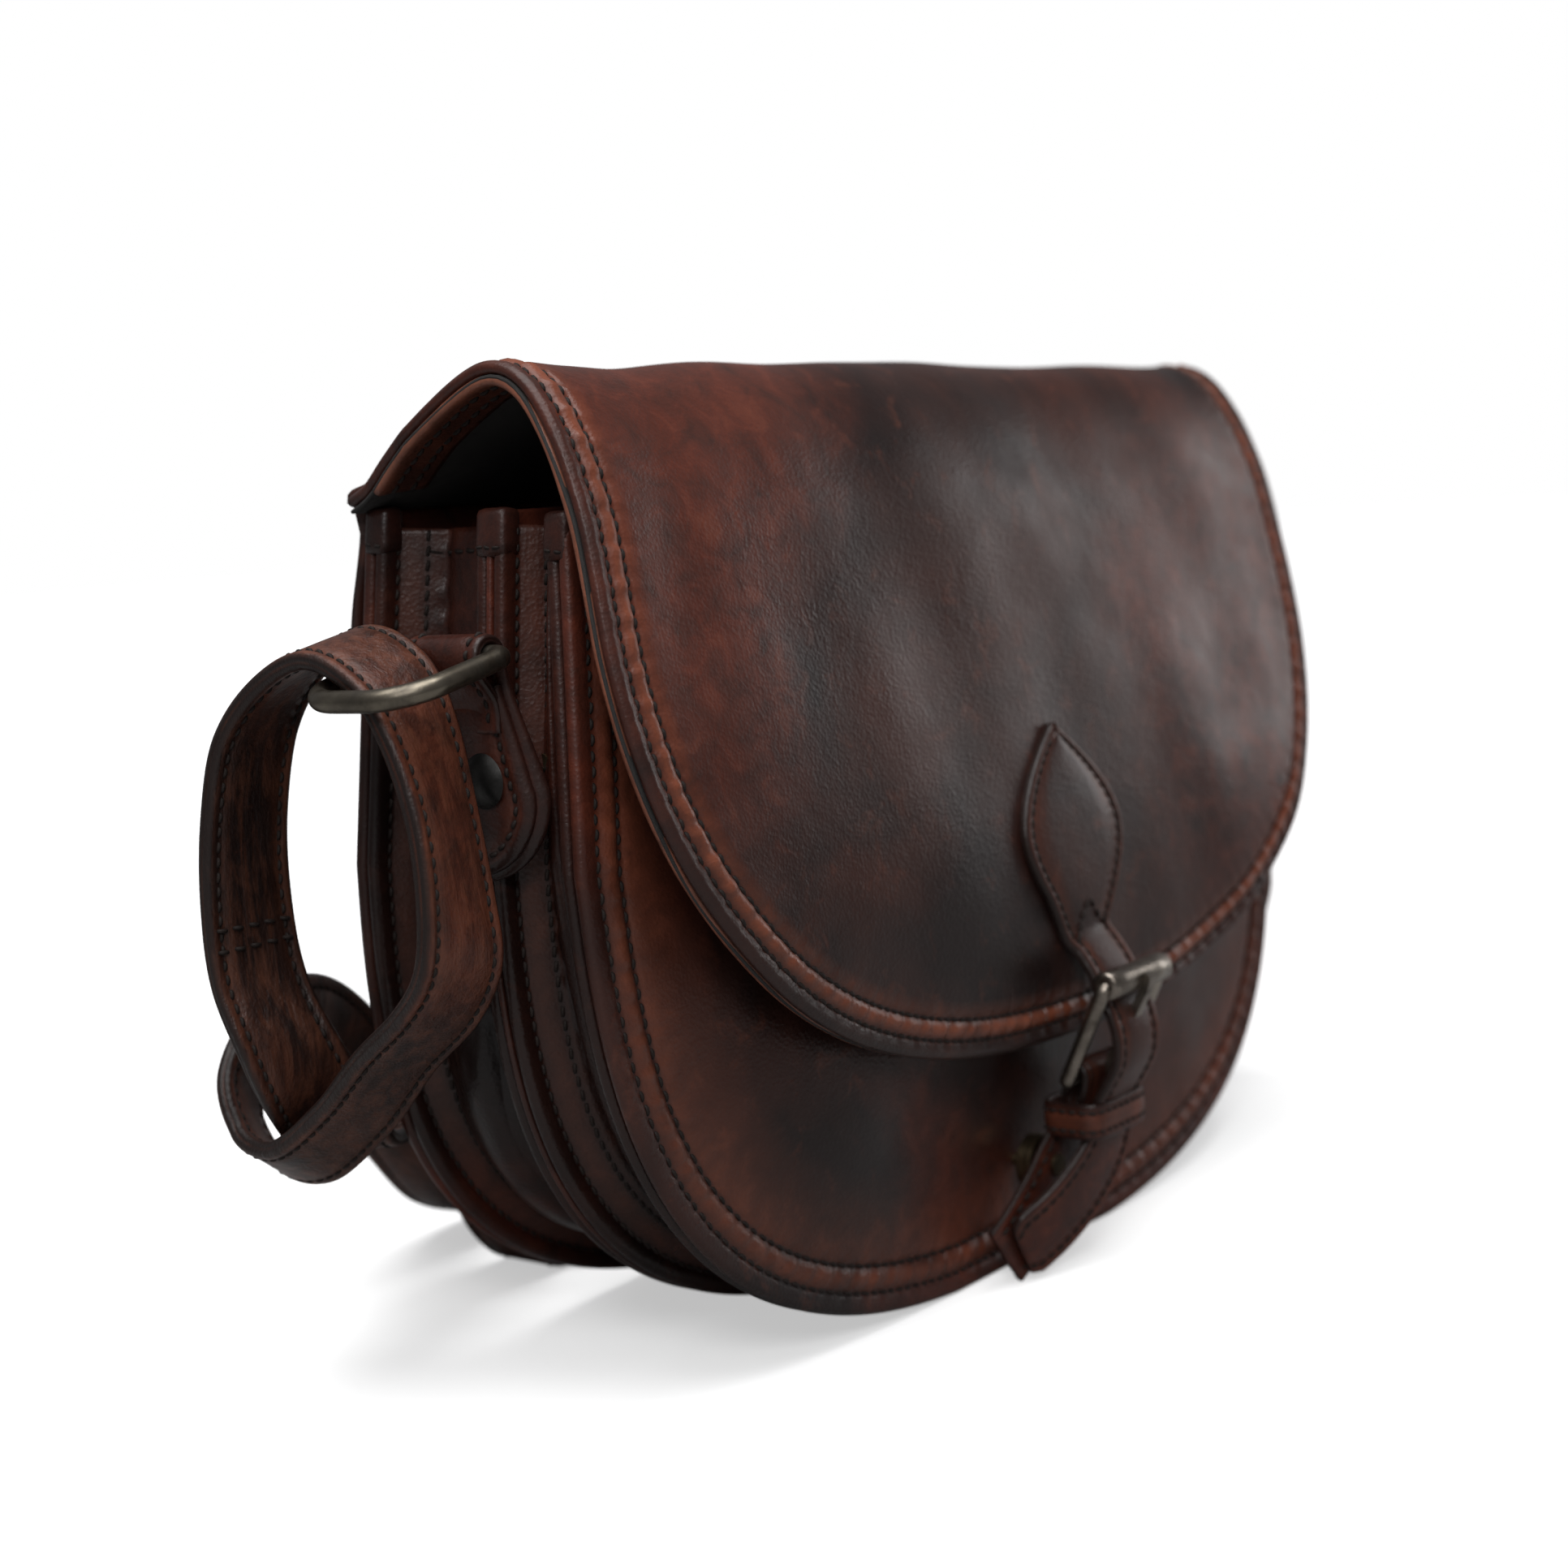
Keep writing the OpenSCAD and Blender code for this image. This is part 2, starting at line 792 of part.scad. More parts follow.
module frame_shape() {
    corner = 3;
    e = buckle_len;
    x_bar(frame_half, heel_r, 0);
    x_bar(frame_half - corner, axle_r, e);
    both_sides() {
        translate([frame_half, 0, 0])
            sphere(r = side_r);
        translate([frame_half, 0, 0])
            cylinder(r = side_r, h = e - corner);
        translate([frame_half - corner, 0, e - corner])
            rotate([90, 0, 0])
                rotate_extrude(angle = 90)
                    translate([corner, 0])
                        circle(r = side_r);
    }
}

module roller_shape() {
    half = frame_half - 3.4;
    difference() {
        x_bar(half, roller_r, buckle_len);
        x_bar(half + 1, axle_r + running_gap, buckle_len);
    }
}

prong_half_w = 1.3;
prong_t = 2.2;

// A flat prong: a loop round the heel bar and a tongue that rests on the roller.
module prong_shape() {
    loop_half = 1.8;
    rest = roller_r + 0.15;
    root = 1.9;
    e = buckle_len;
    difference() {
        union() {
            x_bar(loop_half, heel_r + running_gap + 1.5, 0);
            translate([-prong_half_w, 0, 0])
                rotate([90, 0, 90])
                    linear_extrude(2 * prong_half_w)
                        polygon([[-root, 0], [-root - prong_t, 1], [-rest - prong_t, e - 1],
                                 [-rest - 0.7 * prong_t, e + 2.8], [-rest + 0.4, e + 3.2],
                                 [-rest, e - 1.5]]);
        }
        x_bar(loop_half + 1, heel_r + running_gap, 0);
    }
}

module buckle_frame() {
    color(nickel)
        on_buckle()
            frame_shape();
}

module buckle_roller() {
    color(nickel)
        on_buckle()
            roller_shape();
}

module buckle_prong() {
    color(nickel)
        on_buckle()
            prong_shape();
}

// Tails of the closure strap: [x, y, z, width direction].
billet_path = smooth([[0, bend_y, bend_z - 0.3, 1, 0, 0], [0.5, -59.4, 85, 1, 0, 0], [1.5, -62.6, 80, 1, 0, 0],
                      [2, -65.4, 75.4, 1, 0, 0], [2, -66, 70, 1, 0, 0], [2, -66.1, 62.8, 1, 0, 0],
                      [2, -66.2, 55, 1, 0, 0], [2, -64.9, 47.9, 1, 0, 0], [2, -62.8, 40.5, 1, 0, 0],
                      [1.9, -60.8, 33.6, 1, 0, -0.04], [-2.5, -58.4, 26, 1, 0, -0.45], [-9, -56.2, 19.5, 1, 0, -0.8],
                      [-16, -53.6, 13.5, 1, 0, -1], [-24, -51, 8.5, 1, 0, -1.1]], 3);
billet_t = 2.2;
chape_t = 1.8;
chape_path = smooth([[2, -55.8, 46.4, 1, 0, 0], [2, -54.4, 41, 1, 0, 0], [2, -52.7, 34, 1, 0, 0],
                     [-2.8, -51.7, 26, 1, 0, -0.5], [-13, -51.2, 20, 1, 0, -0.9], [-21, -49.8, 12.5, 1, 0, -1.1],
                     [-27, -48.2, 7.6, 1, 0, -1.1]], 3);

// The slot a buckle's prong passes through.
module prong_slot() {
    slot_r = 2;
    slot_from = -1.5;
    slot_len = 20.5;
    depth = 10;
    rotate([90, 0, 0])
        translate([0, 0, -depth])
            linear_extrude(2 * depth)
                union() {
                    translate([-slot_r, slot_from])
                        square([2 * slot_r, slot_len]);
                    for (v = [slot_from, slot_from + slot_len])
                        translate([0, v])
                            circle(r = slot_r);
                }
}

module billet_tail() {
    color(leather)
        difference() {
            union() {
                strip(billet_path, 0, len(billet_path) - 1, billet_w, -billet_t / 2, billet_t / 2);
                translate([-billet_w / 2, bend_y, bend_z])
                    rotate([0, 90, 0])
                        cylinder(r = billet_t / 2, h = billet_w);
            }
            on_buckle()
                prong_slot();
        }
}

module buckle_chape() {
    wrap_in = heel_r + 0.1;
    wrap_out = wrap_in + chape_t;
    slot_half = 2.2;
    half = billet_w / 2;
    color(leather)
        difference() {
            union() {
                strip(chape_path, 0, len(chape_path) - 1, billet_w, -chape_t / 2, chape_t / 2);
                translate([closure_x - half, heel[0], heel[1]])
                    rotate([90, 0, 90])
                        linear_extrude(billet_w)
                            difference() {
                                union() {
                                    circle(r = wrap_out);
                                    polygon([[wrap_out, 0], [wrap_in, 0], [2.4, -4], [4.1, -4]]);
                                    polygon([[-wrap_out, 0], [-wrap_in, 0], [2.3, -15], [0.5, -15]]);
                                }
                                circle(r = wrap_in);
                            }
            }
            translate([closure_x - slot_half, heel[0] - 8, heel[1] - 3.6])
                cube([2 * slot_half, 16, 12]);
            front_disc(stud_post_r + 0.2, 0, big);
        }
}

keeper_low = 34.5;
keeper_high = 43.3;
keeper_t = 1.6;

module buckle_keeper() {
    front = -64.9;
    rear = -50.9;
    half = billet_w / 2 + 1.2;
    color(leather)
        difference() {
            box(closure_x - half - keeper_t, closure_x + half + keeper_t,
                front - keeper_t, rear + keeper_t, keeper_low, keeper_high);
            box(closure_x - half, closure_x + half, front, rear, keeper_low - 1, keeper_high + 1);
        }
}

// ---- shoulder strap ----

// Middle line from the tongue at the adjuster, through the left ring, behind the bag
// and up to the right ring: [x, y, z, width direction].
strap_points = [
    [8, 74, 10, 0, -1, 0], [-18, 74, 10.2, 0, -1, 0], [-38, 74, 10.6, 0, -1, 0],
    [-50, 74, 6.8, 0, -1, 0], [-65.5, 74, 2.4, 0, -1, 0], [-77, 74, 11, 0, -1, 0],
    [-89, 73, 33, 0.1, -1, 0], [-108, 69, 50, 0.25, -0.97, 0], [-134, 57, 53.5, 0.6, -0.8, 0],
    [-150, 46.2, 57.5, 0.8, -0.6, 0], [-163, 38, 70, 0.93, -0.36, 0], [-171, 37, 84, 0.97, -0.25, 0],
    [-173.5, 42, 100, 1, -0.2, 0], [-174, 43, 118, 1, -0.08, 0],
    [-173, 42, 136, 1, 0, 0], [-171, 38, 153, 1, 0, 0.12], [-169, 27, 165.5, 1, 0, 0.2],
    [-168.6, 12, 170.8, 1, 0, 0.21], [-168.6, -2, 165, 1, 0, 0.21], [-168.8, -10, 153, 1, 0, 0.14],
    [-169, -15, 136, 1, 0, 0.05], [-169, -17, 118, 1, -0.05, 0],
    [-169, -16, 105, 1, -0.1, -0.05], [-168, -7, 94, 1, -0.05, -0.2], [-167, 8, 83, 0.93, 0.05, -0.3],
    [-166, 24, 69, 0.88, 0.1, -0.42], [-166, 42, 57.5, 0.82, 0.2, -0.52], [-165, 57, 58, 0.78, 0.3, -0.55],
    [-162, 67, 68, 0.65, 0.35, -0.65], [-152, 71, 77, 0.35, 0.3, -0.85], [-134, 75, 80, 0.05, 0.2, -1],
    [-112, 86, 66, -0.05, 0.45, -0.88], [-88, 99, 38, 0, 0.75, -0.6], [-66, 108, 14, 0.1, 0.95, -0.25],
    [-42, 110, 4.8, 0.25, 1, 0], [0, 97, 5, 0.33, 0.94, 0], [45, 80, 5, 0.35, 0.94, 0],
    [80, 70, 6.5, 0.3, 0.95, 0], [112, 60, 14, 0.5, 0.87, 0], [142, 44, 26, 0.7, 0.7, 0],
    [166, 16, 37, 0.93, 0.35, 0], [173, -4, 45, 1, 0.1, 0], [175, -12, 62, 1, 0, 0],
    [174, -10, 82, 1, 0, 0], [171, -3, 100, 1, 0, 0], [169.4, 4.2, 117, 1, 0, 0],
    [168.5, 6, 136, 1, 0, -0.05], [168.4, 1, 152, 1, 0, -0.21], [168.4, 0.4, 162, 1, 0, -0.21],
    [168.4, 9.4, 171.3, 1, 0, -0.21], [168.4, 17, 163, 1, 0, -0.21], [168.4, 16, 150, 1, 0, -0.15],
    [168.8, 13.2, 136, 1, 0, -0.05], [169, 11.4, 120, 1, 0, 0]];
strap_fine = 4;
strap_path = smooth(strap_points, strap_fine);
left_cut_low = 13 * strap_fine;
left_cut_high = 21 * strap_fine;
right_cut = 45 * strap_fine;
strap_last = len(strap_path) - 1;
layer_air = 0.05;

module strap_layer(from, to, outside) {
    low = outside ? layer_air : -strap_layer_t;
    high = outside ? strap_layer_t : -layer_air;
    strip(strap_path, from, to, strap_w, low, high);
}

rivet_head_r = 4;

// A rivet with two flat heads along a line through the strap.
module strap_fastener(at, turn, grip, extra) {
    translate(at)
        rotate(turn)
            if (extra > 0) {
                cylinder(r = 1.4 + extra, h = 40, center = true);
            } else {
                translate([0, 0, -grip / 2 - 0.2])
                    cylinder(r = 1.4, h = grip + 0.4);
                for (z = [-grip / 2 - 1.1, grip / 2 + 0.1])
                    translate([0, 0, z])
                        cylinder(r = rivet_head_r, h = 1);
            }
}

module right_rivet(extra) {
    strap_fastener([168.8, 8.6, 127], [90, 0, 0], 11.6, extra);
}

module run_rivet(extra) {
    strap_fastener([42, 78, 4.1], [0, 0, 0], 5.8, extra);
}

module tongue_hole() {
    on_adjuster()
        prong_slot();
}

module strap_tongue() {
    color(leather)
        difference() {
            strap_layer(0, left_cut_low, true);
            tongue_hole();
        }
}

module strap_tongue_inner() {
    color(worn)
        difference() {
            strap_layer(0, left_cut_low, false);
            tongue_hole();
        }
}

module strap_fold_left() {
    color(leather)
        strap_layer(left_cut_low, left_cut_high, true);
}

module strap_fold_left_inner() {
    color(worn)
        strap_layer(left_cut_low, left_cut_high, false);
}

module strap_run() {
    color(leather)
        difference() {
            strap_layer(left_cut_high, right_cut, true);
            run_rivet(0.1);
        }
}

module strap_run_inner() {
    color(worn)
        difference() {
            strap_layer(left_cut_high, right_cut, false);
            run_rivet(0.1);
        }
}

module strap_fold_right() {
    color(leather)
        difference() {
            strap_layer(right_cut, strap_last, true);
            right_rivet(0.1);
        }
}

module strap_fold_right_inner() {
    color(worn)
        difference() {
            strap_layer(right_cut, strap_last, false);
            right_rivet(0.1);
        }
}

module strap_rivet() {
    color(old_brass)
        right_rivet(0);
}

module adjuster_rivet() {
    color(old_brass)
        run_rivet(0);
}

// ---- adjuster buckle on the strap, lying behind the bag ----

adjuster_x = -38;
adjuster_y = 74;
adjuster_heel_z = 4.8;
adjuster_lean = 7;

module on_adjuster() {
    translate([adjuster_x, adjuster_y, adjuster_heel_z])
        rotate([0, adjuster_lean, 0])
            rotate([-90, 0, 90])
                children();
}

module adjuster_frame() {
    color(nickel)
        on_adjuster()
            frame_shape();
}

module adjuster_roller() {
    color(nickel)
        on_adjuster()
            roller_shape();
}

module adjuster_prong() {
    color(nickel)
        on_adjuster()
            prong_shape();
}

module adjuster_chape() {
    wrap_in = heel_r + 0.1;
    wrap_out = wrap_in + chape_t;
    half = strap_w / 2;
    tail = 94;
    slot_half = 2.2;
    color(leather)
        difference() {
            translate([adjuster_x, adjuster_y + half, adjuster_heel_z])
                rotate([90, 0, 0])
                    linear_extrude(strap_w)
                        difference() {
                            union() {
                                circle(r = wrap_out);
                                translate([0, -wrap_out])
                                    square([tail, chape_t]);
                                polygon([[0, wrap_out], [0, wrap_in], [16, -wrap_in + 0.1],
                                         [30, -wrap_in + 0.1], [30, -wrap_in + 0.1 + chape_t],
                                         [17, -wrap_in + 0.1 + chape_t]]);
                            }
                            circle(r = wrap_in);
                        }
            translate([adjuster_x - 10, adjuster_y - slot_half, 0])
                cube([13.8, 2 * slot_half, 30]);
            run_rivet(0.1);
        }
}

module adjuster_keeper() {
    half = strap_w / 2 + 0.4;
    wall = 1;
    low = 0.2;
    high = 14;
    from = -22;
    to = -14;
    color(leather)
        difference() {
            box(from, to, adjuster_y - half - wall, adjuster_y + half + wall, low, high);
            box(from - 1, to + 1, adjuster_y - half, adjuster_y + half, low + wall, high - wall);
        }
}

back_panel();
front_panel();
divider_panel();
rear_gusset();
front_gusset();
rear_lining();
front_lining();
slip_pocket();
zip_tape();
zip_teeth();
zip_slider();
zip_puller();
ring_tab_left();
ring_tab_right();
tab_rivets();
tab_washers();
d_ring_left();
d_ring_right();
snap_socket();
snap_magnet();
snap_washer();
flap_outer();
flap_facing();
flap_lining();
leaf_patch();
billet_tail();
buckle_frame();
buckle_roller();
buckle_prong();
buckle_chape();
buckle_keeper();
snap_stud();
strap_fold_left();
strap_fold_left_inner();
strap_fold_right();
strap_fold_right_inner();
strap_tongue();
strap_tongue_inner();
strap_run();
strap_run_inner();
strap_rivet();
adjuster_frame();
adjuster_roller();
adjuster_prong();
adjuster_chape();
adjuster_keeper();
adjuster_rivet();
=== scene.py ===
import json
import math

import bmesh
import bpy
import numpy as np
from mathutils import Matrix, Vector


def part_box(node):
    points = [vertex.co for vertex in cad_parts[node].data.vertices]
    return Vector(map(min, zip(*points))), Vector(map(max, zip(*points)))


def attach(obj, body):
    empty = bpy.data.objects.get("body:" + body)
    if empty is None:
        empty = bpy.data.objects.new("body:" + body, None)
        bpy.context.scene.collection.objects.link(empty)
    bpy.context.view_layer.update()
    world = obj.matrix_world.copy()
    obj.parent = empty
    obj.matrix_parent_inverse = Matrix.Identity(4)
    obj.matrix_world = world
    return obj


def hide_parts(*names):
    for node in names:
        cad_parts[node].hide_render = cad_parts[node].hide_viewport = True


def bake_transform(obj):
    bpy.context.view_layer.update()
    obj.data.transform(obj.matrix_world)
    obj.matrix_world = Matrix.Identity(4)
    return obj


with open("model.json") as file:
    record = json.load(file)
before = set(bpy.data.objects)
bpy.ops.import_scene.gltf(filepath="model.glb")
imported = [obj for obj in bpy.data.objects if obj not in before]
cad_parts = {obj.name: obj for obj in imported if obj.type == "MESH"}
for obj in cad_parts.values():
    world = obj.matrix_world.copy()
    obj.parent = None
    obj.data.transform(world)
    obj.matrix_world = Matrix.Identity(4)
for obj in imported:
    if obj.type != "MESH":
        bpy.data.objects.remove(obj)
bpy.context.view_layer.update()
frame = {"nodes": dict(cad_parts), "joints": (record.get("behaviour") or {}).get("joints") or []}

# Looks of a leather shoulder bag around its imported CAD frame. Lengths are in millimetres
# until a mesh is made; the frame itself is in metres.
MM = 0.001
TAU = 2 * math.pi


def node_box(node):
    low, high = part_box(node)
    return np.array(low) / MM, np.array(high) / MM


def joint(name):
    return next(j for j in frame["joints"] if j["name"] == name)


def joint_at(name):
    return np.array(joint(name)["pos_m"]) / MM


# ---------------------------------------------------------------- mesh tools

def unit(a):
    return a / np.maximum(np.linalg.norm(a, axis=-1, keepdims=True), 1e-9)


def smoothstep(x, a, b):
    t = np.clip((np.asarray(x, float) - a) / (b - a), 0, 1)
    return t * t * (3 - 2 * t)


def bell(x, centre, width):
    return np.exp(-((np.asarray(x, float) - centre) / width) ** 2)


def spline(points, steps):
    p = np.array(points, float)
    t = (np.arange(steps) / steps)[:, None]
    out = []
    for i in range(len(p) - 1):
        a, b, c, d = p[max(i - 1, 0)], p[i], p[i + 1], p[min(i + 2, len(p) - 1)]
        out.append(0.5 * (2 * b + (c - a) * t + (2 * a - 5 * b + 4 * c - d) * t ** 2
                          + (3 * b - a - 3 * c + d) * t ** 3))
    return np.concatenate(out + [p[-1:]])


def lengths(p):
    return np.concatenate([[0], np.cumsum(np.linalg.norm(np.diff(p, axis=0), axis=1))])


def squarish(a, power):
    """Points of a rounded square at the angles a; a smaller power makes it squarer."""
    c, s = np.cos(a), np.sin(a)
    return np.stack([np.sign(c) * np.abs(c) ** power, np.sign(s) * np.abs(s) ** power], 1)


def resample(p, step, dims=3):
    s = lengths(p[:, :dims])
    n = max(2, int(round(s[-1] / step)) + 1)
    at = np.linspace(0, s[-1], n)
    return np.stack([np.interp(at, s, p[:, k]) for k in range(p.shape[1])], 1)


def waves(p, size, seed, count=9):
    """Smooth noise, about -1 to 1, with features of the given size."""
    rng = np.random.RandomState(seed)
    p = np.asarray(p, float)
    total = np.zeros(p.shape[:-1])
    for _ in range(count):
        d = rng.normal(size=p.shape[-1])
        d *= TAU / size / np.linalg.norm(d) * rng.uniform(0.5, 1.4)
        total += np.sin(p @ d + rng.uniform(0, TAU))
    return total / math.sqrt(count)


def quads(rows, cols, ring=False):
    """Faces of a grid whose columns close on each other, and its rows too if it is a ring."""
    i, j = np.meshgrid(np.arange(rows if ring else rows - 1), np.arange(cols), indexing="ij")
    k, n = (j + 1) % cols, (i + 1) % rows
    return np.stack([i * cols + j, i * cols + k, n * cols + k, n * cols + j], -1).reshape(-1, 4)


def grid_normals(g):
    dv = (np.roll(g, -1, 1) - np.roll(g, 1, 1)) / 2
    return unit(np.cross(np.gradient(g, axis=0), dv))


def turned(t):
    """Directions in a flat plane turned through a right angle."""
    return np.stack([t[:, 1], -t[:, 0]], 1)


class Part:
    """Collects the verts and faces of one visible piece."""

    def __init__(self):
        self.verts, self.faces, self.mats, self.tones, self.count = [], [], [], [], 0

    def add(self, verts, faces, mat=0, tone=0.0):
        verts = np.asarray(verts, float).reshape(-1, 3)
        for f in faces:
            rows = (np.asarray(f) + self.count).tolist()
            self.faces += rows
            self.mats += [mat] * len(rows)
        self.verts.append(verts)
        self.tones.append(np.broadcast_to(tone, (len(verts),)))
        self.count += len(verts)

    def tube(self, g, tones=0.0, ring=False):
        """Closed cross-sections g[row, column] joined along the rows, with one tone per column."""
        rows, cols = g.shape[:2]
        faces = [quads(rows, cols, ring)]
        if not ring:
            faces += [np.arange(cols)[None, ::-1], np.arange(cols)[None] + (rows - 1) * cols]
        self.add(g, faces, 0, np.broadcast_to(tones, (rows, cols)).ravel())

    def make(self, name, materials):
        mesh = bpy.data.meshes.new(name)
        mesh.from_pydata((np.concatenate(self.verts) * MM).tolist(), [], self.faces)
        for m in materials:
            mesh.materials.append(m)
        mesh.polygons.foreach_set("material_index", self.mats)
        tone = mesh.attributes.new("tone", "FLOAT", "POINT")
        tone.data.foreach_set("value", np.concatenate(self.tones).astype(np.float32))
        bm = bmesh.new()
        bm.from_mesh(mesh)
        bmesh.ops.recalc_face_normals(bm, faces=bm.faces)
        bm.to_mesh(mesh)
        bm.free()
        mesh.polygons.foreach_set("use_smooth", [True] * len(mesh.polygons))
        obj = bpy.data.objects.new(name, mesh)
        bpy.context.scene.collection.objects.link(obj)
        return obj

    def place(self, name, materials, body, *nodes, slot="bag_leather"):
        """Makes the piece, which rides on a body and may take the place of CAD nodes."""
        obj = self.make(name, materials)
        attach(obj, body)
        if nodes:
            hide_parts(*nodes)


def stitches(part, line, normal, pitch=3.3, size=2.75, r=0.5, seed=1):
    """A row of sewn thread lying on a line, its ends sunk into the leather."""
    s = lengths(line)
    n = int(s[-1] // pitch)
    if n < 1:
        return
    rng = np.random.RandomState(seed)
    at = (np.arange(n) + 0.5) * s[-1] / n + rng.uniform(-0.12, 0.12, n)

    def pick(a, q):
        return np.stack([np.interp(q, s, a[:, k]) for k in range(3)], 1)

    c = pick(line, at)
    up = unit(pick(normal, at))
    t = unit(pick(line, at + 0.4) - pick(line, at - 0.4))
    b = unit(np.cross(t, up))
    turn = 0.14 + rng.uniform(-0.05, 0.05, n)[:, None]
    along = t * np.cos(turn) + b * np.sin(turn)
    aside = np.cross(along, up)
    u = np.array([-1, -0.82, -0.35, 0.35, 0.82, 1]) * size / 2
    fat = np.array([0.35, 0.85, 1, 1, 0.85, 0.35]) * r
    lift = np.array([-1.1, -0.1, 0.55, 0.55, -0.1, -1.1]) * r
    a = np.arange(6) * TAU / 6
    ring = (np.cos(a)[:, None, None] * up + np.sin(a)[:, None, None] * aside)
    g = (c[:, None, None] + u[None, :, None, None] * along[:, None, None]
         + lift[None, :, None, None] * up[:, None, None]
         + fat[None, :, None, None] * ring.transpose(1, 0, 2)[:, None])
    sides = quads(6, 6)
    caps = np.stack([np.arange(6)[::-1], np.arange(6) + 30])
    base = (np.arange(n) * 36)[:, None, None]
    part.add(g, [(sides[None] + base).reshape(-1, 4), (caps[None] + base).reshape(-1, 6)], mat=1)


# ---------------------------------------------------------------- materials

class Net:
    """Short forms for building a node tree."""

    def __init__(self, tree):
        self.tree = tree
        self.coords = tree.nodes.new("ShaderNodeTexCoord").outputs["Object"]

    def node(self, kind, **values):
        n = self.tree.nodes.new(kind)
        for key, value in values.items():
            setattr(n, key, value)
        return n

    def put(self, socket, value):
        if isinstance(value, bpy.types.NodeSocket):
            self.tree.links.new(value, socket)
        else:
            socket.default_value = value

    def texture(self, kind, vector, inputs, **values):
        n = self.node(kind, **values)
        self.put(n.inputs["Vector"], vector or self.coords)
        for key, value in inputs.items():
            n.inputs[key].default_value = value
        return n.outputs

    def noise(self, scale, detail=3.0, rough=0.55, distort=0.0, vector=None):
        inputs = {"Scale": scale, "Detail": detail, "Roughness": rough, "Distortion": distort}
        return self.texture("ShaderNodeTexNoise", vector, inputs)["Fac"]

    def cells(self, scale, feature="F1", vector=None):
        return self.texture("ShaderNodeTexVoronoi", vector, {"Scale": scale}, feature=feature)["Distance"]

    def stretch(self, scale):
        return self.texture("ShaderNodeMapping", None, {"Scale": scale})[0]

    def wave(self, scale, direction, distort=0.0):
        inputs = {"Scale": scale, "Distortion": distort}
        return self.texture("ShaderNodeTexWave", None, inputs, bands_direction=direction)["Fac"]

    def math(self, op, a, b=0.0, clamp=False):
        n = self.node("ShaderNodeMath", operation=op, use_clamp=clamp)
        self.put(n.inputs[0], a)
        self.put(n.inputs[1], b)
        return n.outputs[0]

    def fit(self, value, a, b, c=0.0, d=1.0):
        n = self.node("ShaderNodeMapRange")
        self.put(n.inputs["Value"], value)
        for key, v in (("From Min", a), ("From Max", b), ("To Min", c), ("To Max", d)):
            n.inputs[key].default_value = v
        return n.outputs[0]

    def mix(self, fac, a, b):
        n = self.node("ShaderNodeMix", data_type="RGBA")
        self.put(n.inputs[0], fac)
        self.put(n.inputs[6], a)
        self.put(n.inputs[7], b)
        return n.outputs[2]

    def attribute(self, name):
        n = self.node("ShaderNodeAttribute", attribute_name=name)
        return n.outputs["Fac"]

    def bump(self, height, strength, distance, normal=None):
        n = self.node("ShaderNodeBump")
        n.inputs["Strength"].default_value = strength
        n.inputs["Distance"].default_value = distance
        self.put(n.inputs["Height"], height)
        if normal is not None:
            self.put(n.inputs["Normal"], normal)
        return n.outputs[0]


def shader(name):
    mat = bpy.data.materials.new(name)
    mat.use_nodes = True
    tree = mat.node_tree
    tree.nodes.clear()
    out = tree.nodes.new("ShaderNodeOutputMaterial")
    bsdf = tree.nodes.new("ShaderNodeBsdfPrincipled")
    tree.links.new(bsdf.outputs[0], out.inputs[0])
    return mat, bsdf.inputs, Net(tree)


def rgba(r, g, b):
    return (r, g, b, 1.0)


INK = rgba(0.0125, 0.0066, 0.0054)


def leather(name, dark, mid, red, worn, rough=0.36, along=None, blotch=13.0):
    """Waxed leather: cloudy colour, pebble grain, fine creases, worn and inked places."""
    mat, inputs, n = shader(name)
    cloud = n.noise(blotch, 4.0, 0.58, 0.5)
    patch = n.noise(blotch * 0.55, 2.0, 0.5, 0.3)
    fleck = n.noise(blotch * 9, 5.0, 0.65, 0.6)
    colour = n.mix(n.fit(cloud, 0.38, 0.58), dark, mid)
    colour = n.mix(n.math("MULTIPLY", n.fit(patch, 0.44, 0.60), n.fit(fleck, 0.28, 0.6)), colour, red)
    colour = n.mix(n.fit(fleck, 0.56, 0.8, 0.0, 0.3), colour, worn)
    if along:
        streak = n.noise(1.0, 4.0, 0.7, 0.4, n.stretch(along))
        colour = n.mix(n.fit(streak, 0.45, 0.75, 0.0, 0.55), colour, worn)
        colour = n.mix(n.fit(streak, 0.5, 0.28, 0.0, 0.5), colour, dark)
    tone = n.attribute("tone")
    rub = n.math("MULTIPLY", n.fit(tone, 0.0, 1.0), n.fit(fleck, 0.25, 0.6, 0.35, 1.0), True)
    colour = n.mix(rub, colour, worn)
    colour = n.mix(n.fit(tone, 0.0, -1.0), colour, INK)
    inputs["Base Color"].default_value = mid
    n.put(inputs["Base Color"], colour)
    n.put(inputs["Roughness"], n.fit(n.noise(blotch * 3, 3.0), 0.3, 0.7, rough - 0.07, rough + 0.12))
    inputs["Specular IOR Level"].default_value = 0.33
    pebble = n.math("MULTIPLY", n.cells(1100), n.noise(420, 3.0))
    crease = n.fit(n.cells(150, "DISTANCE_TO_EDGE", n.mix(0.02, n.coords, n.noise(90, 2.0))), 0.0, 0.07)
    soft = n.bump(n.noise(48, 1.5, 0.45, 0.6), 0.22, 0.0012)
    fine = n.bump(n.math("ADD", pebble, n.math("MULTIPLY", crease, 0.12)), 0.26, 0.0005, soft)
    if along:
        fine = n.bump(n.noise(1.6, 4.0, 0.7, 0.5, n.stretch(along)), 0.5, 0.0008, fine)
    n.put(inputs["Normal"], fine)
    return mat


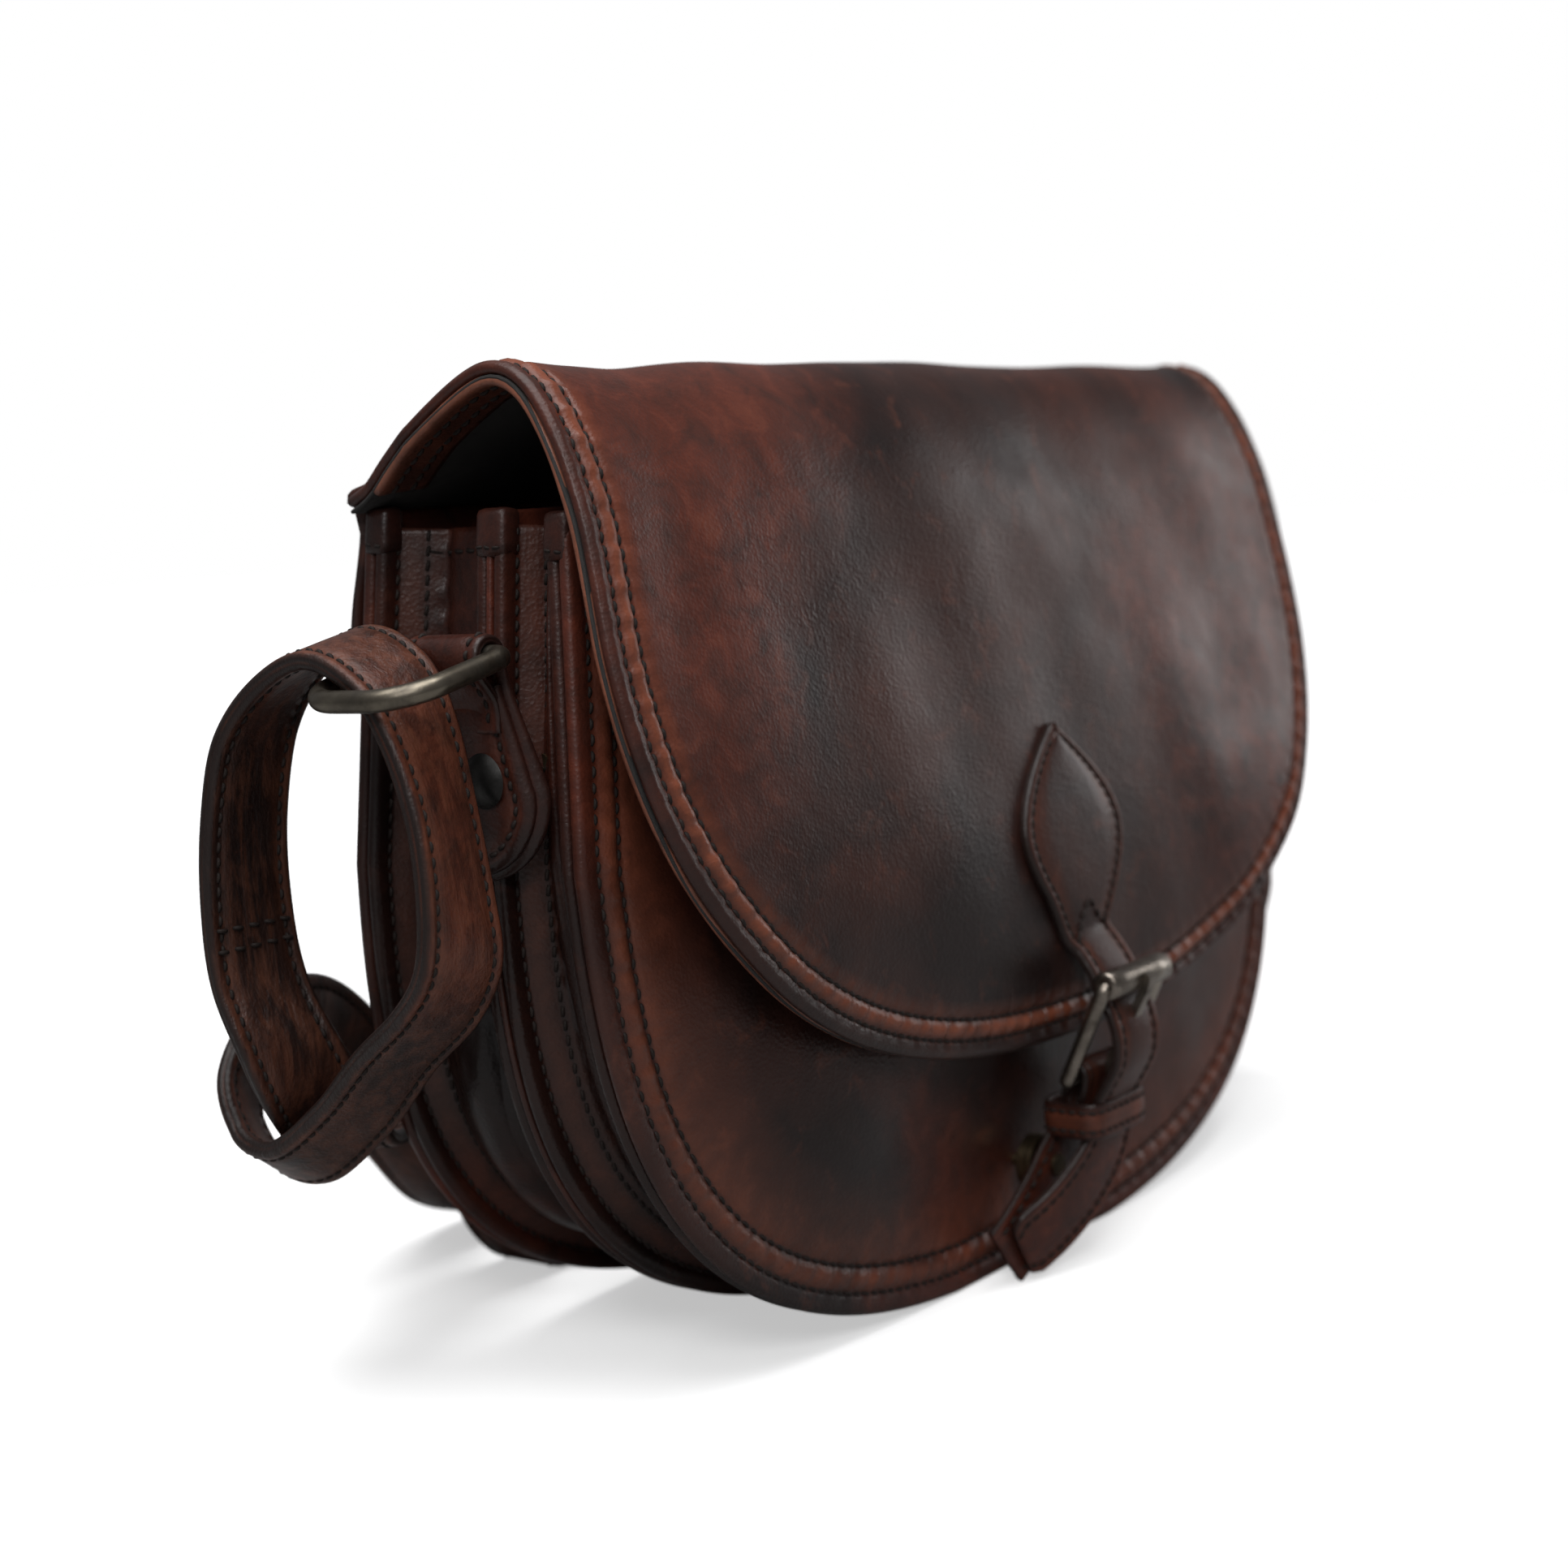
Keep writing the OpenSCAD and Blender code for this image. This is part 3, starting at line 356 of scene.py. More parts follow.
def metal(name, colour, tarnish, bright, rough=0.34):
    mat, inputs, n = shader(name)
    spots = n.noise(150, 5.0, 0.65, 0.4)
    rubbed = n.noise(45, 3.0, 0.6)
    c = n.mix(n.fit(spots, 0.42, 0.66), colour, tarnish)
    c = n.mix(n.fit(rubbed, 0.52, 0.7, 0.0, 0.8), c, bright)
    n.put(inputs["Base Color"], c)
    inputs["Metallic"].default_value = 1.0
    n.put(inputs["Roughness"], n.fit(spots, 0.3, 0.7, rough - 0.08, rough + 0.16))
    n.put(inputs["Normal"], n.bump(n.noise(900, 4.0, 0.7), 0.18, 0.0002))
    return mat


def cloth(name, colour, light, scale=1500.0):
    mat, inputs, n = shader(name)
    warp = n.wave(scale, "X", 0.4)
    weft = n.wave(scale, "Z", 0.4)
    weave = n.math("MAXIMUM", warp, weft)
    n.put(inputs["Base Color"], n.mix(n.math("MULTIPLY", weave, n.noise(60, 4.0)), colour, light))
    inputs["Roughness"].default_value = 0.85
    n.put(inputs["Normal"], n.bump(weave, 0.4, 0.0004))
    return mat


def thread(name):
    mat, inputs, n = shader(name)
    n.put(inputs["Base Color"],
          n.mix(n.noise(400, 3.0), rgba(0.0065, 0.0042, 0.0036), rgba(0.020, 0.0125, 0.0100)))
    inputs["Roughness"].default_value = 0.7
    inputs["Specular IOR Level"].default_value = 0.25
    n.put(inputs["Normal"], n.bump(n.noise(2500, 2.0), 0.3, 0.0002))
    return mat


DARK = rgba(0.0100, 0.0042, 0.0036)
MID = rgba(0.0400, 0.0125, 0.0082)
RED = rgba(0.0900, 0.0200, 0.0108)
WORN = rgba(0.2100, 0.0600, 0.0300)
BODY = leather("leather_body", DARK, MID, RED, WORN)
STRAP = leather("leather_strap", rgba(0.010, 0.0045, 0.0036), rgba(0.042, 0.0150, 0.0095),
                rgba(0.095, 0.025, 0.013), rgba(0.160, 0.056, 0.030), 0.40, (260.0, 260.0, 34.0), 16.0)
# A darker copy of the body leather for the gussets, seam end caps and ring tabs: painted shade for the sides
# of the bag, which sit in shadow.
PAINTED_SHADE_LEATHER = leather("leather_gusset_painted_shade", rgba(0.0062, 0.0029, 0.0026), rgba(0.018, 0.0064, 0.0046),
                rgba(0.045, 0.0112, 0.0066), rgba(0.105, 0.032, 0.018), 0.33)
FACING = leather("leather_facing", rgba(0.013, 0.0065, 0.0055), rgba(0.034, 0.0140, 0.0105),
                 rgba(0.07, 0.021, 0.013), rgba(0.21, 0.075, 0.044), 0.40)
THREAD = thread("thread_black")
LINING = cloth("cloth_lining", rgba(0.010, 0.0095, 0.009), rgba(0.035, 0.032, 0.030))
TAPE = cloth("cloth_zip_tape", rgba(0.008, 0.0075, 0.007), rgba(0.028, 0.026, 0.024), 2200.0)
BRASS = metal("brass_aged", rgba(0.22, 0.17, 0.10), rgba(0.09, 0.07, 0.05), rgba(0.45, 0.36, 0.22))
RING = metal("brass_ring", rgba(0.155, 0.135, 0.105), rgba(0.075, 0.066, 0.055), rgba(0.36, 0.32, 0.25), 0.36)
NICKEL = metal("nickel_aged", rgba(0.23, 0.20, 0.17), rgba(0.10, 0.085, 0.07), rgba(0.50, 0.45, 0.39), 0.3)
GUN = metal("gunmetal", rgba(0.035, 0.034, 0.033), rgba(0.022, 0.021, 0.02), rgba(0.075, 0.073, 0.07), 0.4)
SEWN = (BODY, THREAD)
# Sewn pieces in the painted-shade copy of the leather.
SEWN_PAINTED_SHADE = (PAINTED_SHADE_LEATHER, THREAD)
HEMMED = (LINING, THREAD)


# ---------------------------------------------------------------- bag body

DIV_LOW, DIV_HIGH = node_box("divider_panel")
HALF_W, _, BACK_TOP = node_box("back_panel")[1]
FRONT_TOP = node_box("front_panel")[1][2]
DIV_TOP = DIV_HIGH[2]
# Outline of the panels: sides that draw in towards the top, and a rounded lower half.
WIDEST_Z, TOP_DRAW = 121.0, 9.0
CURVE_H, POWER = 121.6, 2.77
# Outer planes of the back and the front panel: y at the ground and lean.
BACK_Y, BACK_LEAN = 42.7, 7.6 / 200
FRONT_Y, FRONT_LEAN = -40.5, 14.3 / 200
PANEL_T = 3.4
LIP_R = PANEL_T / 2
CROWN = 11.0
SEAM = 0.1
# No leather of the panels and gussets is lower than this.
GROUND = 0.25
# The rings of a panel's surface close on this point of the outline's plane.
CENTRE_Z = 100.0
CENTRE = np.array([0, CENTRE_Z])


def back_y(z):
    return BACK_Y - BACK_LEAN * z


def front_y(z):
    return FRONT_Y + FRONT_LEAN * z


def side_x(z):
    lean = HALF_W - TOP_DRAW * (z - WIDEST_Z) / (FRONT_TOP - WIDEST_Z)
    v = np.clip((WIDEST_Z - z) / CURVE_H, 0, 1)
    return np.where(z > WIDEST_Z, lean, HALF_W * (1 - v ** POWER) ** (1 / POWER))


def side_line(top):
    """Right side of the bag's outline from the top down to the middle of the bottom."""
    z = np.linspace(top, WIDEST_Z, 40)[:-1]
    t = np.linspace(0, math.pi / 2, 160)
    e = 2 / POWER
    low = np.stack([HALF_W * np.cos(t) ** e, WIDEST_Z - CURVE_H * np.sin(t) ** e], 1)
    p = np.concatenate([np.stack([side_x(z), z], 1), low])
    p[:, 1] = np.maximum(p[:, 1], GROUND)
    return p


def both_sides(right, step):
    """A line from the left top round to the right top; right is its right half from the top."""
    return resample(np.concatenate([right[:-1] * (-1, 1), right[::-1]]), step, 2)


def closed_outline(top, step, corner=6.0):
    right = side_line(top - corner)
    x = right[0, 0] - corner
    a = np.linspace(math.pi / 2, 0, 9)[:-1]
    arc = np.stack([x + corner * np.cos(a), top - corner + corner * np.sin(a)], 1)
    half = np.concatenate([[[0, top]], arc, right])
    return resample(np.concatenate([half, half[-2::-1] * (-1, 1)]), step, 2)[:-1]


def away_from(p, centre, closed=False):
    """Directions at right angles to a flat line, away from the centre."""
    n = turned(unit(np.roll(p, -1, 0) - np.roll(p, 1, 0) if closed else np.gradient(p, axis=0)))
    return n if np.sum((p - centre) * n) > 0 else -n


# Sizes of the rings inside a plate's face, from the outermost to the centre.
SHRINK = np.array([1, 0.97, 0.93, 0.88, 0.82, 0.76, 0.69, 0.62, 0.55, 0.47, 0.39, 0.31, 0.23, 0.15, 0.07])
SHRINK_FINE = np.linspace(1, 0.02, 60)


def plate(part, rim, centre, face, thick, to3d, wave=None, shrink=SHRINK):
    """A solid sheet with a rounded rim. face holds (inset, height, tone) from the rim inward.

    to3d(p, h, rho) places points of the sheet: p in the flat, h above its face, rho 0 at the
    centre and 1 at the rim. wave is (inset, width, size) of puckers along the rim. Returns the
    grid of the sheet and the row of each inset in it."""
    far = 99
    centre = np.asarray(centre, float)
    reach = np.linalg.norm(centre - rim, axis=1)
    ray = (centre - rim) / reach[:, None]
    slope = np.maximum(-np.sum(away_from(rim, rim.mean(0), True) * ray, 1), 0.4)
    run = lengths(rim)

    def inset(d):
        return rim + ray * (d / slope)[:, None]

    r = thick / 2
    rings, heights, tones, insets = [], [], [], []

    def ring(p, h, tone, d):
        rings.append(p)
        heights.append(np.full(len(p), float(h)))
        tones.append(np.full(len(p), float(tone)))
        insets.append(d)

    deep = inset(face[-1][0])
    for s in shrink[:0:-1]:
        ring(centre + (deep - centre) * s, face[-1][1], 0, far)
    for d, h, tone in reversed(face):
        ring(inset(d), h, tone, d)
    for a in np.radians([75, 55, 35, 15, -5, -25, -45, -65, -90]):
        ring(inset(r - r * math.cos(a)), -r + r * math.sin(a), face[0][2], 0)
    for d in (6.0, face[-1][0]):
        ring(inset(d), -thick, 0, far)
    for s in shrink[1:]:
        ring(centre + (deep - centre) * s, -thick, 0, far)
    p, h = np.array(rings), np.array(heights)
    if wave:
        place, width, size = wave
        d = np.array(insets)[:, None]
        irregular = np.sin(TAU * run / 6.6 + 1.3 * np.sin(run / 23.0)) + 0.6 * np.sin(TAU * run / 3.7 + 1)
        beside = bell(d, place - 2 * width, 1.2) + bell(d, place + 2 * width, 1.2)
        h = h + size * bell(d, place, width) * irregular[None] + 0.5 * size * beside * irregular[None]
    rho = np.linalg.norm(p - centre, axis=2) / reach[None]
    g = to3d(p, h, rho)
    ends = to3d(np.array([[centre], [centre]]), np.array([[face[-1][1]], [-thick]]), np.zeros((2, 1)))
    n, m = g.shape[:2]
    j = np.arange(m)
    k = (j + 1) % m
    fans = [np.stack([np.full(m, n * m), k, j], 1),
            np.stack([np.full(m, n * m + 1), j + (n - 1) * m, k + (n - 1) * m], 1)]
    verts = np.concatenate([g.reshape(-1, 3), ends.reshape(-1, 3)])
    part.add(verts, [quads(n, m)] + fans, 0, np.concatenate([np.array(tones).ravel(), [0, 0]]))
    return g, {d: len(shrink) - 1 + i for i, (d, _, _) in enumerate(reversed(face))}


def row_on(part, g, index, outward, keep=None, **kw):
    """Sews a row of stitches along one ring of a sheet, where keep(line) says so."""
    line, up = g[index], grid_normals(g)[index]
    if np.sum(up * outward) < 0:
        up = -up
    line, up = np.concatenate([line, line[:1]]), np.concatenate([up, up[:1]])
    mask = keep(line) if keep else np.ones(len(line), bool)
    ends = np.flatnonzero(np.diff(np.concatenate([[0], mask.astype(int), [0]])))
    for a, b in zip(ends[::2], ends[1::2]):
        if b - a > 4:
            stitches(part, line[a:b], up[a:b], **kw)


# Seam face: rounded lip, stitch row, burnished ridge, second row, then the open panel.
ROW_1, ROW_2 = 5.2, 11.6
SEAM_FACE = [(1.7, 0.0, 0.0), (3.0, 0.08, 0.0), (4.2, -0.1, 0.0), (ROW_1, -0.6, 0.0), (6.2, 0.05, 0.3),
             (7.4, 0.65, 0.45), (8.6, 0.85, 0.5), (9.8, 0.6, 0.45), (10.8, 0.0, 0.2), (ROW_2, -0.5, 0.0),
             (12.5, 0.15, 0.45), (13.8, 0.6, 0.4), (16.5, 0.8, 0.3), (21, 0.8, 0.2), (27, 0.8, 0.1),
             (34, 0.8, 0.0)]
PUCKER = (8.4, 2.0, 0.28)


def front_sheet(p, h, rho):
    x, z = p[..., 0], p[..., 1]
    crown = CROWN * (1 - smoothstep(rho, 0.15, 0.95)) + 0.9 * (1 - smoothstep(rho, 0.6, 0.93))
    soft = smoothstep(1 - rho, 0.05, 0.3)
    dents = waves(np.stack([x, z], -1), 95, 5) * 1.1 + waves(np.stack([x, z], -1), 38, 6) * 0.35
    # The leather hollows beside the closure and swells low down.
    dents = dents + 2.2 * bell(x, -75, 30) * bell(z, 48, 26) - 1.6 * bell(x, -28, 14) * bell(z, 40, 30)
    return np.stack([x, front_y(z) - h - (crown + soft * dents), np.maximum(z, GROUND)], -1)


def back_sheet(p, h, rho):
    x, z = p[..., 0], p[..., 1]
    soft = smoothstep(1 - rho, 0.05, 0.4)
    puff = soft * (2.6 + waves(np.stack([x, z], -1), 110, 8) * 0.9)
    return np.stack([x, back_y(z) + h + puff, np.maximum(z, GROUND)], -1)


def visible_panel(name, node, top, sheet, outward, seed):
    part = Part()
    rim = closed_outline(top, 1.1)
    g, at = plate(part, rim, CENTRE, SEAM_FACE, PANEL_T, sheet, PUCKER)
    out = np.array([0, outward, 0])
    row_on(part, g, at[ROW_1], out, seed=seed)
    row_on(part, g, at[ROW_2], out, seed=seed + 1)
    part.place(name, SEWN, "bag", node)


visible_panel("front_skin", "front_panel", FRONT_TOP, front_sheet, -1, 11)
visible_panel("back_skin", "back_panel", BACK_TOP, back_sheet, 1, 13)


def divider_sheet(p, h, rho):
    x, z = p[..., 0], p[..., 1]
    y = (DIV_LOW[1] + DIV_HIGH[1]) / 2 - 0.8 - h
    return np.stack([x, y, np.maximum(z, 0.3)], -1)


part = Part()
plate(part, closed_outline(DIV_TOP, 2.5, 4.0), CENTRE, [(0.8, 0, 0), (3, 0, 0), (14, 0, 0)], 1.6,
      divider_sheet)
part.place("divider_skin", SEWN, "bag", "divider_panel")


# Half of a gusset's cross-section: inset from the outline, distance from the seam's plane and
# tone. It starts inside the bag, goes round the seam's lip and out over the sewn flange.
SECTION = [(e, 0.0, 0.0) for e in (15.0, 9.0, 4.0)]
SECTION += [(LIP_R - LIP_R * math.cos(a), LIP_R + LIP_R * math.sin(a), -0.15)
            for a in np.radians([-90, -60, -30, 0, 30, 60, 90])]
ROW_A, ROW_B = len(SECTION) + 2, len(SECTION) + 7
SECTION += [(3.0, 3.5, 0.0), (4.0, 3.3, 0.0), (4.7, 2.95, 0.0), (5.5, 3.6, 0.2), (6.6, 4.7, 0.35),
            (7.8, 5.8, 0.35), (8.9, 6.8, 0.2), (9.7, 7.4, 0.0), (10.4, 8.6, 0.15)]
MIDDLE_STEPS = 18


def gusset(name, node, top, plane_a, plane_b, depth, seed):
    """A band between two seams, whose planes have their y from plane_a and plane_b. Returns the
    inner side of its leather."""
    part = Part()
    path = both_sides(side_line(top), 1.3)
    out = away_from(path, CENTRE)
    run = lengths(path)
    x, z = path[:, 0], path[:, 1]
    ya, yb = plane_a(z), plane_b(z)
    width = np.abs(yb - ya)
    way = np.sign(yb - ya)
    spare = np.clip((width / 2 - PANEL_T) / 7.0, 0.3, 1.0)
    mid = depth(x, z)

    def half(flip):
        found = []
        for e, w, tone in SECTION:
            w = np.where(w > PANEL_T, PANEL_T + (w - PANEL_T) * spare, w)
            found.append((e, width - w if flip else w, tone))
        return found

    first, second = half(False), half(True)
    edge_e, start_w, end_w = SECTION[-1][0], first[-1][1], second[-1][1]
    pucker = np.sin(TAU * run / 8.5 + 2.0 * np.sin(run / 31.0)) * 0.55 + np.sin(TAU * run / 5.3) * 0.25
    low = bell(z, 48, 42)
    high = smoothstep(z, 100, 150)

    def middle(v):
        """Depth of the open leather between the seams: it sinks beside them and swells between."""
        lift = math.sin(math.pi * v) ** 0.8
        crease = 4.2 * low * bell(v, 0.15, 0.09) + 2.2 * low * bell(v, 0.86, 0.08)
        crease = crease + 2.0 * high * bell(v, 0.9, 0.1)
        return edge_e + (mid - edge_e) * lift + crease * spare

    cols = first
    for k in range(1, MIDDLE_STEPS):
        v = k / MIDDLE_STEPS
        lift = math.sin(math.pi * v) ** 0.8
        place = np.stack([run, np.full_like(run, v * 30)], -1)
        e = middle(v) + waves(place, 60, seed) * 0.8 * lift
        e = e + pucker * (bell(v, 0.08, 0.16) + bell(v, 0.92, 0.16)) * 0.6
        cols.append((e, start_w + (end_w - start_w) * v, 0.0))
    cols += reversed(second)
    total = len(cols)
    cols += [(np.maximum(middle(v) + 2.6, 4.5), width * v, 0.0) for v in np.linspace(0.96, 0.04, 15)]
    e, w = (np.stack([np.broadcast_to(c[k], x.shape) for c in cols], 1) for k in (0, 1))
    px = x[:, None] - out[:, None, 0] * e
    pz = np.maximum(z[:, None] - out[:, None, 1] * e, GROUND)
    g = np.stack([px, ya[:, None] + way[:, None] * w, pz], -1)
    part.tube(g, [tone for _, _, tone in cols])
    normals = grid_normals(g)
    for c in (ROW_A, ROW_B, total - 1 - ROW_A, total - 1 - ROW_B):
        up = normals[:, c]
        nearby = g[:, total // 2] - g[:, c]
        toward = np.sum(up * np.array([0, 1, 0]) * np.sign(nearby[:, 1:2]), axis=1).mean()
        stitches(part, g[:, c], up if toward > 0 else -up, seed=seed + c)
    # Stitched hem along the two top ends.
    for end, inward in ((0, 1), (len(g) - 1, -1)):
        row = end + inward * 4
        line = resample(g[row, ROW_B:total - ROW_B], 1.0)
        side = np.sign(x[end])
        stitches(part, line, np.tile([side, 0, 0.0], (len(line), 1)), seed=seed + 50)
    part.place(name, SEWN_PAINTED_SHADE, "bag", node)
    return g[:, total:]


def rear_depth(x, z):
    low = bell(z, 52, 34) * 7.5
    return 10.5 + 2.2 * smoothstep(z, 110, 170) - low + 1.5 * bell(z, 6, 8)


def front_depth(x, z):
    return 8.2 - 2.2 * bell(z, 148, 30) + 1.6 * bell(z, 60, 35)


rear_inside = gusset("rear_gusset_skin", "rear_gusset", DIV_TOP - 1.6,
                     lambda z: np.full_like(z, DIV_HIGH[1] + SEAM),
                     lambda z: back_y(z) - PANEL_T - SEAM, rear_depth, 21)
front_inside = gusset("front_gusset_skin", "front_gusset", FRONT_TOP - 1,
                      lambda z: np.full_like(z, DIV_LOW[1] - SEAM),
                      lambda z: front_y(z) + PANEL_T + SEAM, front_depth, 31)


def seam_caps():
    """Small folded leather caps sewn over the top ends of the seam edges."""
    part = Part()
    spots = [(BACK_TOP, back_y(BACK_TOP) - PANEL_T - 0.05, 6.9), (DIV_TOP, -4.0, 8.5),
             (FRONT_TOP, front_y(FRONT_TOP) + PANEL_T + 0.05, 6.9)]
    levels = [(-9.5, 0.86), (-9.2, 1.0), (-7, 1.03), (-3, 1.0), (-0.8, 0.99), (0.1, 0.9), (0.5, 0.62),
              (0.55, 0.2)]
    a = np.linspace(0, TAU, 21)[:-1]
    shape = squarish(a, 0.55)
    for side in (-1, 1):
        for k, (top, y, wide) in enumerate(spots):
            g = []
            for dz, size in levels:
                z = top + dz
                x = side * (side_x(np.array(min(z, top))) - 3.0)
                g.append(np.stack([x + 3.3 * size * shape[:, 0], y + wide / 2 * size * shape[:, 1] * 1.04,
                                   np.full(len(a), z) + 0.15 * np.sin(3 * a + k)], 1))
            part.tube(np.array(g), -0.2)
            x = side * (side_x(np.array(top - 7.0)) + 0.35)
            ring = np.array([[x, y + t, top - 7.6 + 0.2 * math.sin(t)]
                             for t in np.linspace(-wide / 2 + 0.6, wide / 2 - 0.6, 9)])
            stitches(part, ring, np.tile([side, 0, 0.0], (len(ring), 1)), 2.2, 2.0, 0.38, seed=k)
    part.place("seam_end_caps", SEWN_PAINTED_SHADE, "bag")


seam_caps()


# ---------------------------------------------------------------- linings and inside pockets

def lining(name, node, top, inside, wall_a, wall_b):
    part = Part()
    rim = closed_outline(top, 4.0, 3.0)
    for wall, sign in ((wall_a, 1), (wall_b, -1)):
        def sheet(p, h, rho):
            q = p + (CENTRE - p) * 0.075
            soft = 0.5 + 0.4 * waves(p, 60, 77)
            y = wall(p[..., 1]) + sign * (soft * 0.6 - h)
            return np.stack([q[..., 0], y, np.maximum(q[..., 1], 8)], -1)
        plate(part, rim, CENTRE, [(0.3, 0, 0), (4, 0, 0), (14, 0, 0)], 0.6, sheet)
    # The band between the walls follows the inner side of the gusset.
    band = inside[::3]
    band = band[band[:, :, 2].max(1) < top + 12]
    inward = unit((np.array([0, 0, CENTRE_Z]) - band) * np.array([1, 0, 1]))
    loop = np.concatenate([band + inward * 0.6, (band + inward * 1.3)[:, ::-1]], 1)
    loop[..., 2] = np.minimum(loop[..., 2], top)
    part.tube(loop)
    part.place(name, HEMMED, "bag", node, slot="lining_cloth")


lining("rear_lining_cloth", "rear_lining", DIV_TOP - 5, rear_inside,
       lambda z: np.full_like(z, DIV_HIGH[1] + 0.9), lambda z: back_y(z) - PANEL_T - 0.9)
lining("front_lining_cloth", "front_lining", FRONT_TOP - 4, front_inside,
       lambda z: front_y(z) + PANEL_T + 0.9, lambda z: np.full_like(z, DIV_LOW[1] - 0.9))


def rectangle(x0, x1, z0, z1, r, step):
    a = np.linspace(0, math.pi / 2, 7)
    corners = [(x1 - r, z1 - r, 0), (x0 + r, z1 - r, 1), (x0 + r, z0 + r, 2), (x1 - r, z0 + r, 3)]
    turns = [(x, z, a + k * math.pi / 2) for x, z, k in corners]
    pts = np.concatenate([np.stack([x + r * np.cos(b), z + r * np.sin(b)], 1) for x, z, b in turns])
    return resample(np.concatenate([pts, pts[:1]]), step, 2)[:-1]


low, high = node_box("slip_pocket")
part = Part()
g, at = plate(part, rectangle(low[0], high[0], low[2], high[2], 5, 1.5), (0, (low[2] + high[2]) / 2),
              [(0.4, 0, 0), (1.6, 0.1, 0), (3, -0.1, 0), (5, 0.3, 0), (12, 0.9, 0)], 0.8,
              lambda p, h, rho: np.stack([p[..., 0], high[1] + h + 1.0 * (1 - rho ** 2), p[..., 1]], -1))
row_on(part, g, at[3], np.array([0, 1, 0]), keep=lambda q: q[:, 2] < high[2] - 4)
part.place("slip_pocket_cloth", HEMMED, "bag", "slip_pocket", slot="lining_cloth")

low, high = node_box("zip_tape")
part = Part()
tape_mid = (low[2] + high[2]) / 2
tape_y = (low[1] + high[1]) / 2
g, at = plate(part, rectangle(low[0], high[0], low[2], high[2], 2, 1.2), (0, tape_mid),
              [(0.35, 0, 0), (1.8, 0.05, 0), (2.6, -0.08, 0), (4, 0.0, 0), (8, 0.0, 0)], 0.7,
              lambda p, h, rho: np.stack([p[..., 0], tape_y - BACK_LEAN * (p[..., 1] - tape_mid) - 0.35 - h,
                                          p[..., 1]], -1))
row_on(part, g, at[2.6], np.array([0, -1, 0]))
part.place("zip_tape_cloth", (TAPE, THREAD), "bag", "zip_tape", slot="zip_tape_cloth")


# ---------------------------------------------------------------- flap

HINGE = joint_at("flap_hinge")
FLAP_LOW, FLAP_HIGH = node_box("flap_outer")
FLAP_W = FLAP_HIGH[0]
FLAP_BOTTOM = FLAP_LOW[2]
# Height and superellipse power of the flap's rounded lower part.
ROUND_H, ROUND_POWER = 109.0, 2.31
# Side view (y, z) of the flap's outer face, from the hinge over the top and down the front.
ARCH_POINTS = [(HINGE[1], HINGE[2] + 1.2), (30, 204.4), (21.7, 210), (8, 218.3), (-3.6, 224.2),
               (-11.8, 226.4), (-19, 225), (-25.6, 220), (-32, 211), (-36.8, 201), (-40.8, 189),
               (-45.6, 165), (-50.4, 140), (-54.8, 113), (-56.4, 90), (-55.6, 57)]
ARCH = resample(spline(ARCH_POINTS, 12), 0.8, 2)
ARCH_L = lengths(ARCH)
ARCH_N = turned(unit(np.gradient(ARCH, axis=0)))
ARCH_N *= np.sign(ARCH_N[:, 1].mean())
FRONT_START = int(np.argmax(ARCH[:, 1]))


def arch_at(length):
    """Place (y, z) and outer side's direction (y, z) at a length along the arch."""
    return [np.interp(length, ARCH_L, values) for values in (*ARCH.T, *ARCH_N.T)]


def length_at(z):
    """Arc length on the front of the flap at a height."""
    return np.interp(-np.asarray(z, float), -ARCH[FRONT_START:, 1], ARCH_L[FRONT_START:])


def flap_u(step):
    """The flap's free edge in the flat, from the left hinge end round to the right one."""
    round_z = FLAP_BOTTOM + ROUND_H
    top_l = length_at(round_z)
    ls = np.linspace(0, top_l, 90)[:-1]
    y, z, _, _ = arch_at(ls)
    by_plan = FLAP_W - (FLAP_W - 140.5) * np.clip(y / 41.0, 0, 1)
    by_side = FLAP_W - 3.2 * np.clip((z - round_z) / (228 - round_z), 0, 1)
    upper = np.stack([np.minimum(by_plan, by_side), ls], 1)
    t = np.linspace(0, math.pi / 2, 150)
    e = 2 / ROUND_POWER
    lower = np.stack([FLAP_W * np.cos(t) ** e, length_at(round_z - ROUND_H * np.sin(t) ** e)], 1)
    return both_sides(np.concatenate([upper, lower]), step)


FLAP_CENTRE = np.array([0.0, float(length_at(178.0))])


def flap_sheet(p, h, rho=None):
    """Places the flat flap over the arch with the leather's soft swells; rho isn't needed."""
    x, l = p[..., 0], p[..., 1]
    y, z, ny, nz = arch_at(l)
    front = smoothstep(l, 62, 110)
    lower = smoothstep(l, 120, 200)
    away = np.abs(x) / FLAP_W
    # The front hugs the bag towards its sides and hangs fuller in the middle.
    bend = -1.0 * away ** 2.2 * front * (1 - 0.55 * lower) + 1.2 * lower * (1 - away ** 2)
    crest = bell(l, 52, 26)
    sag = -1.7 * crest * bell(x, -104, 24) + 0.8 * crest * bell(x, -142, 16) - 0.5 * crest * bell(x, 60, 60)
    inside = smoothstep(FLAP_W + 8 - np.abs(x), 10, 45)
    soft = (waves(np.stack([x, l], -1), 120, 41) * 0.9 + waves(np.stack([x, l], -1), 46, 42) * 0.3) * inside
    fold = -1.1 * bell(x + 0.25 * (l - 95), -118, 10) * bell(l, 92, 40)
    off = h + bend + sag + soft * smoothstep(l, 25, 60) + fold
    return np.stack([x, y + ny * off, z + nz * off], -1)


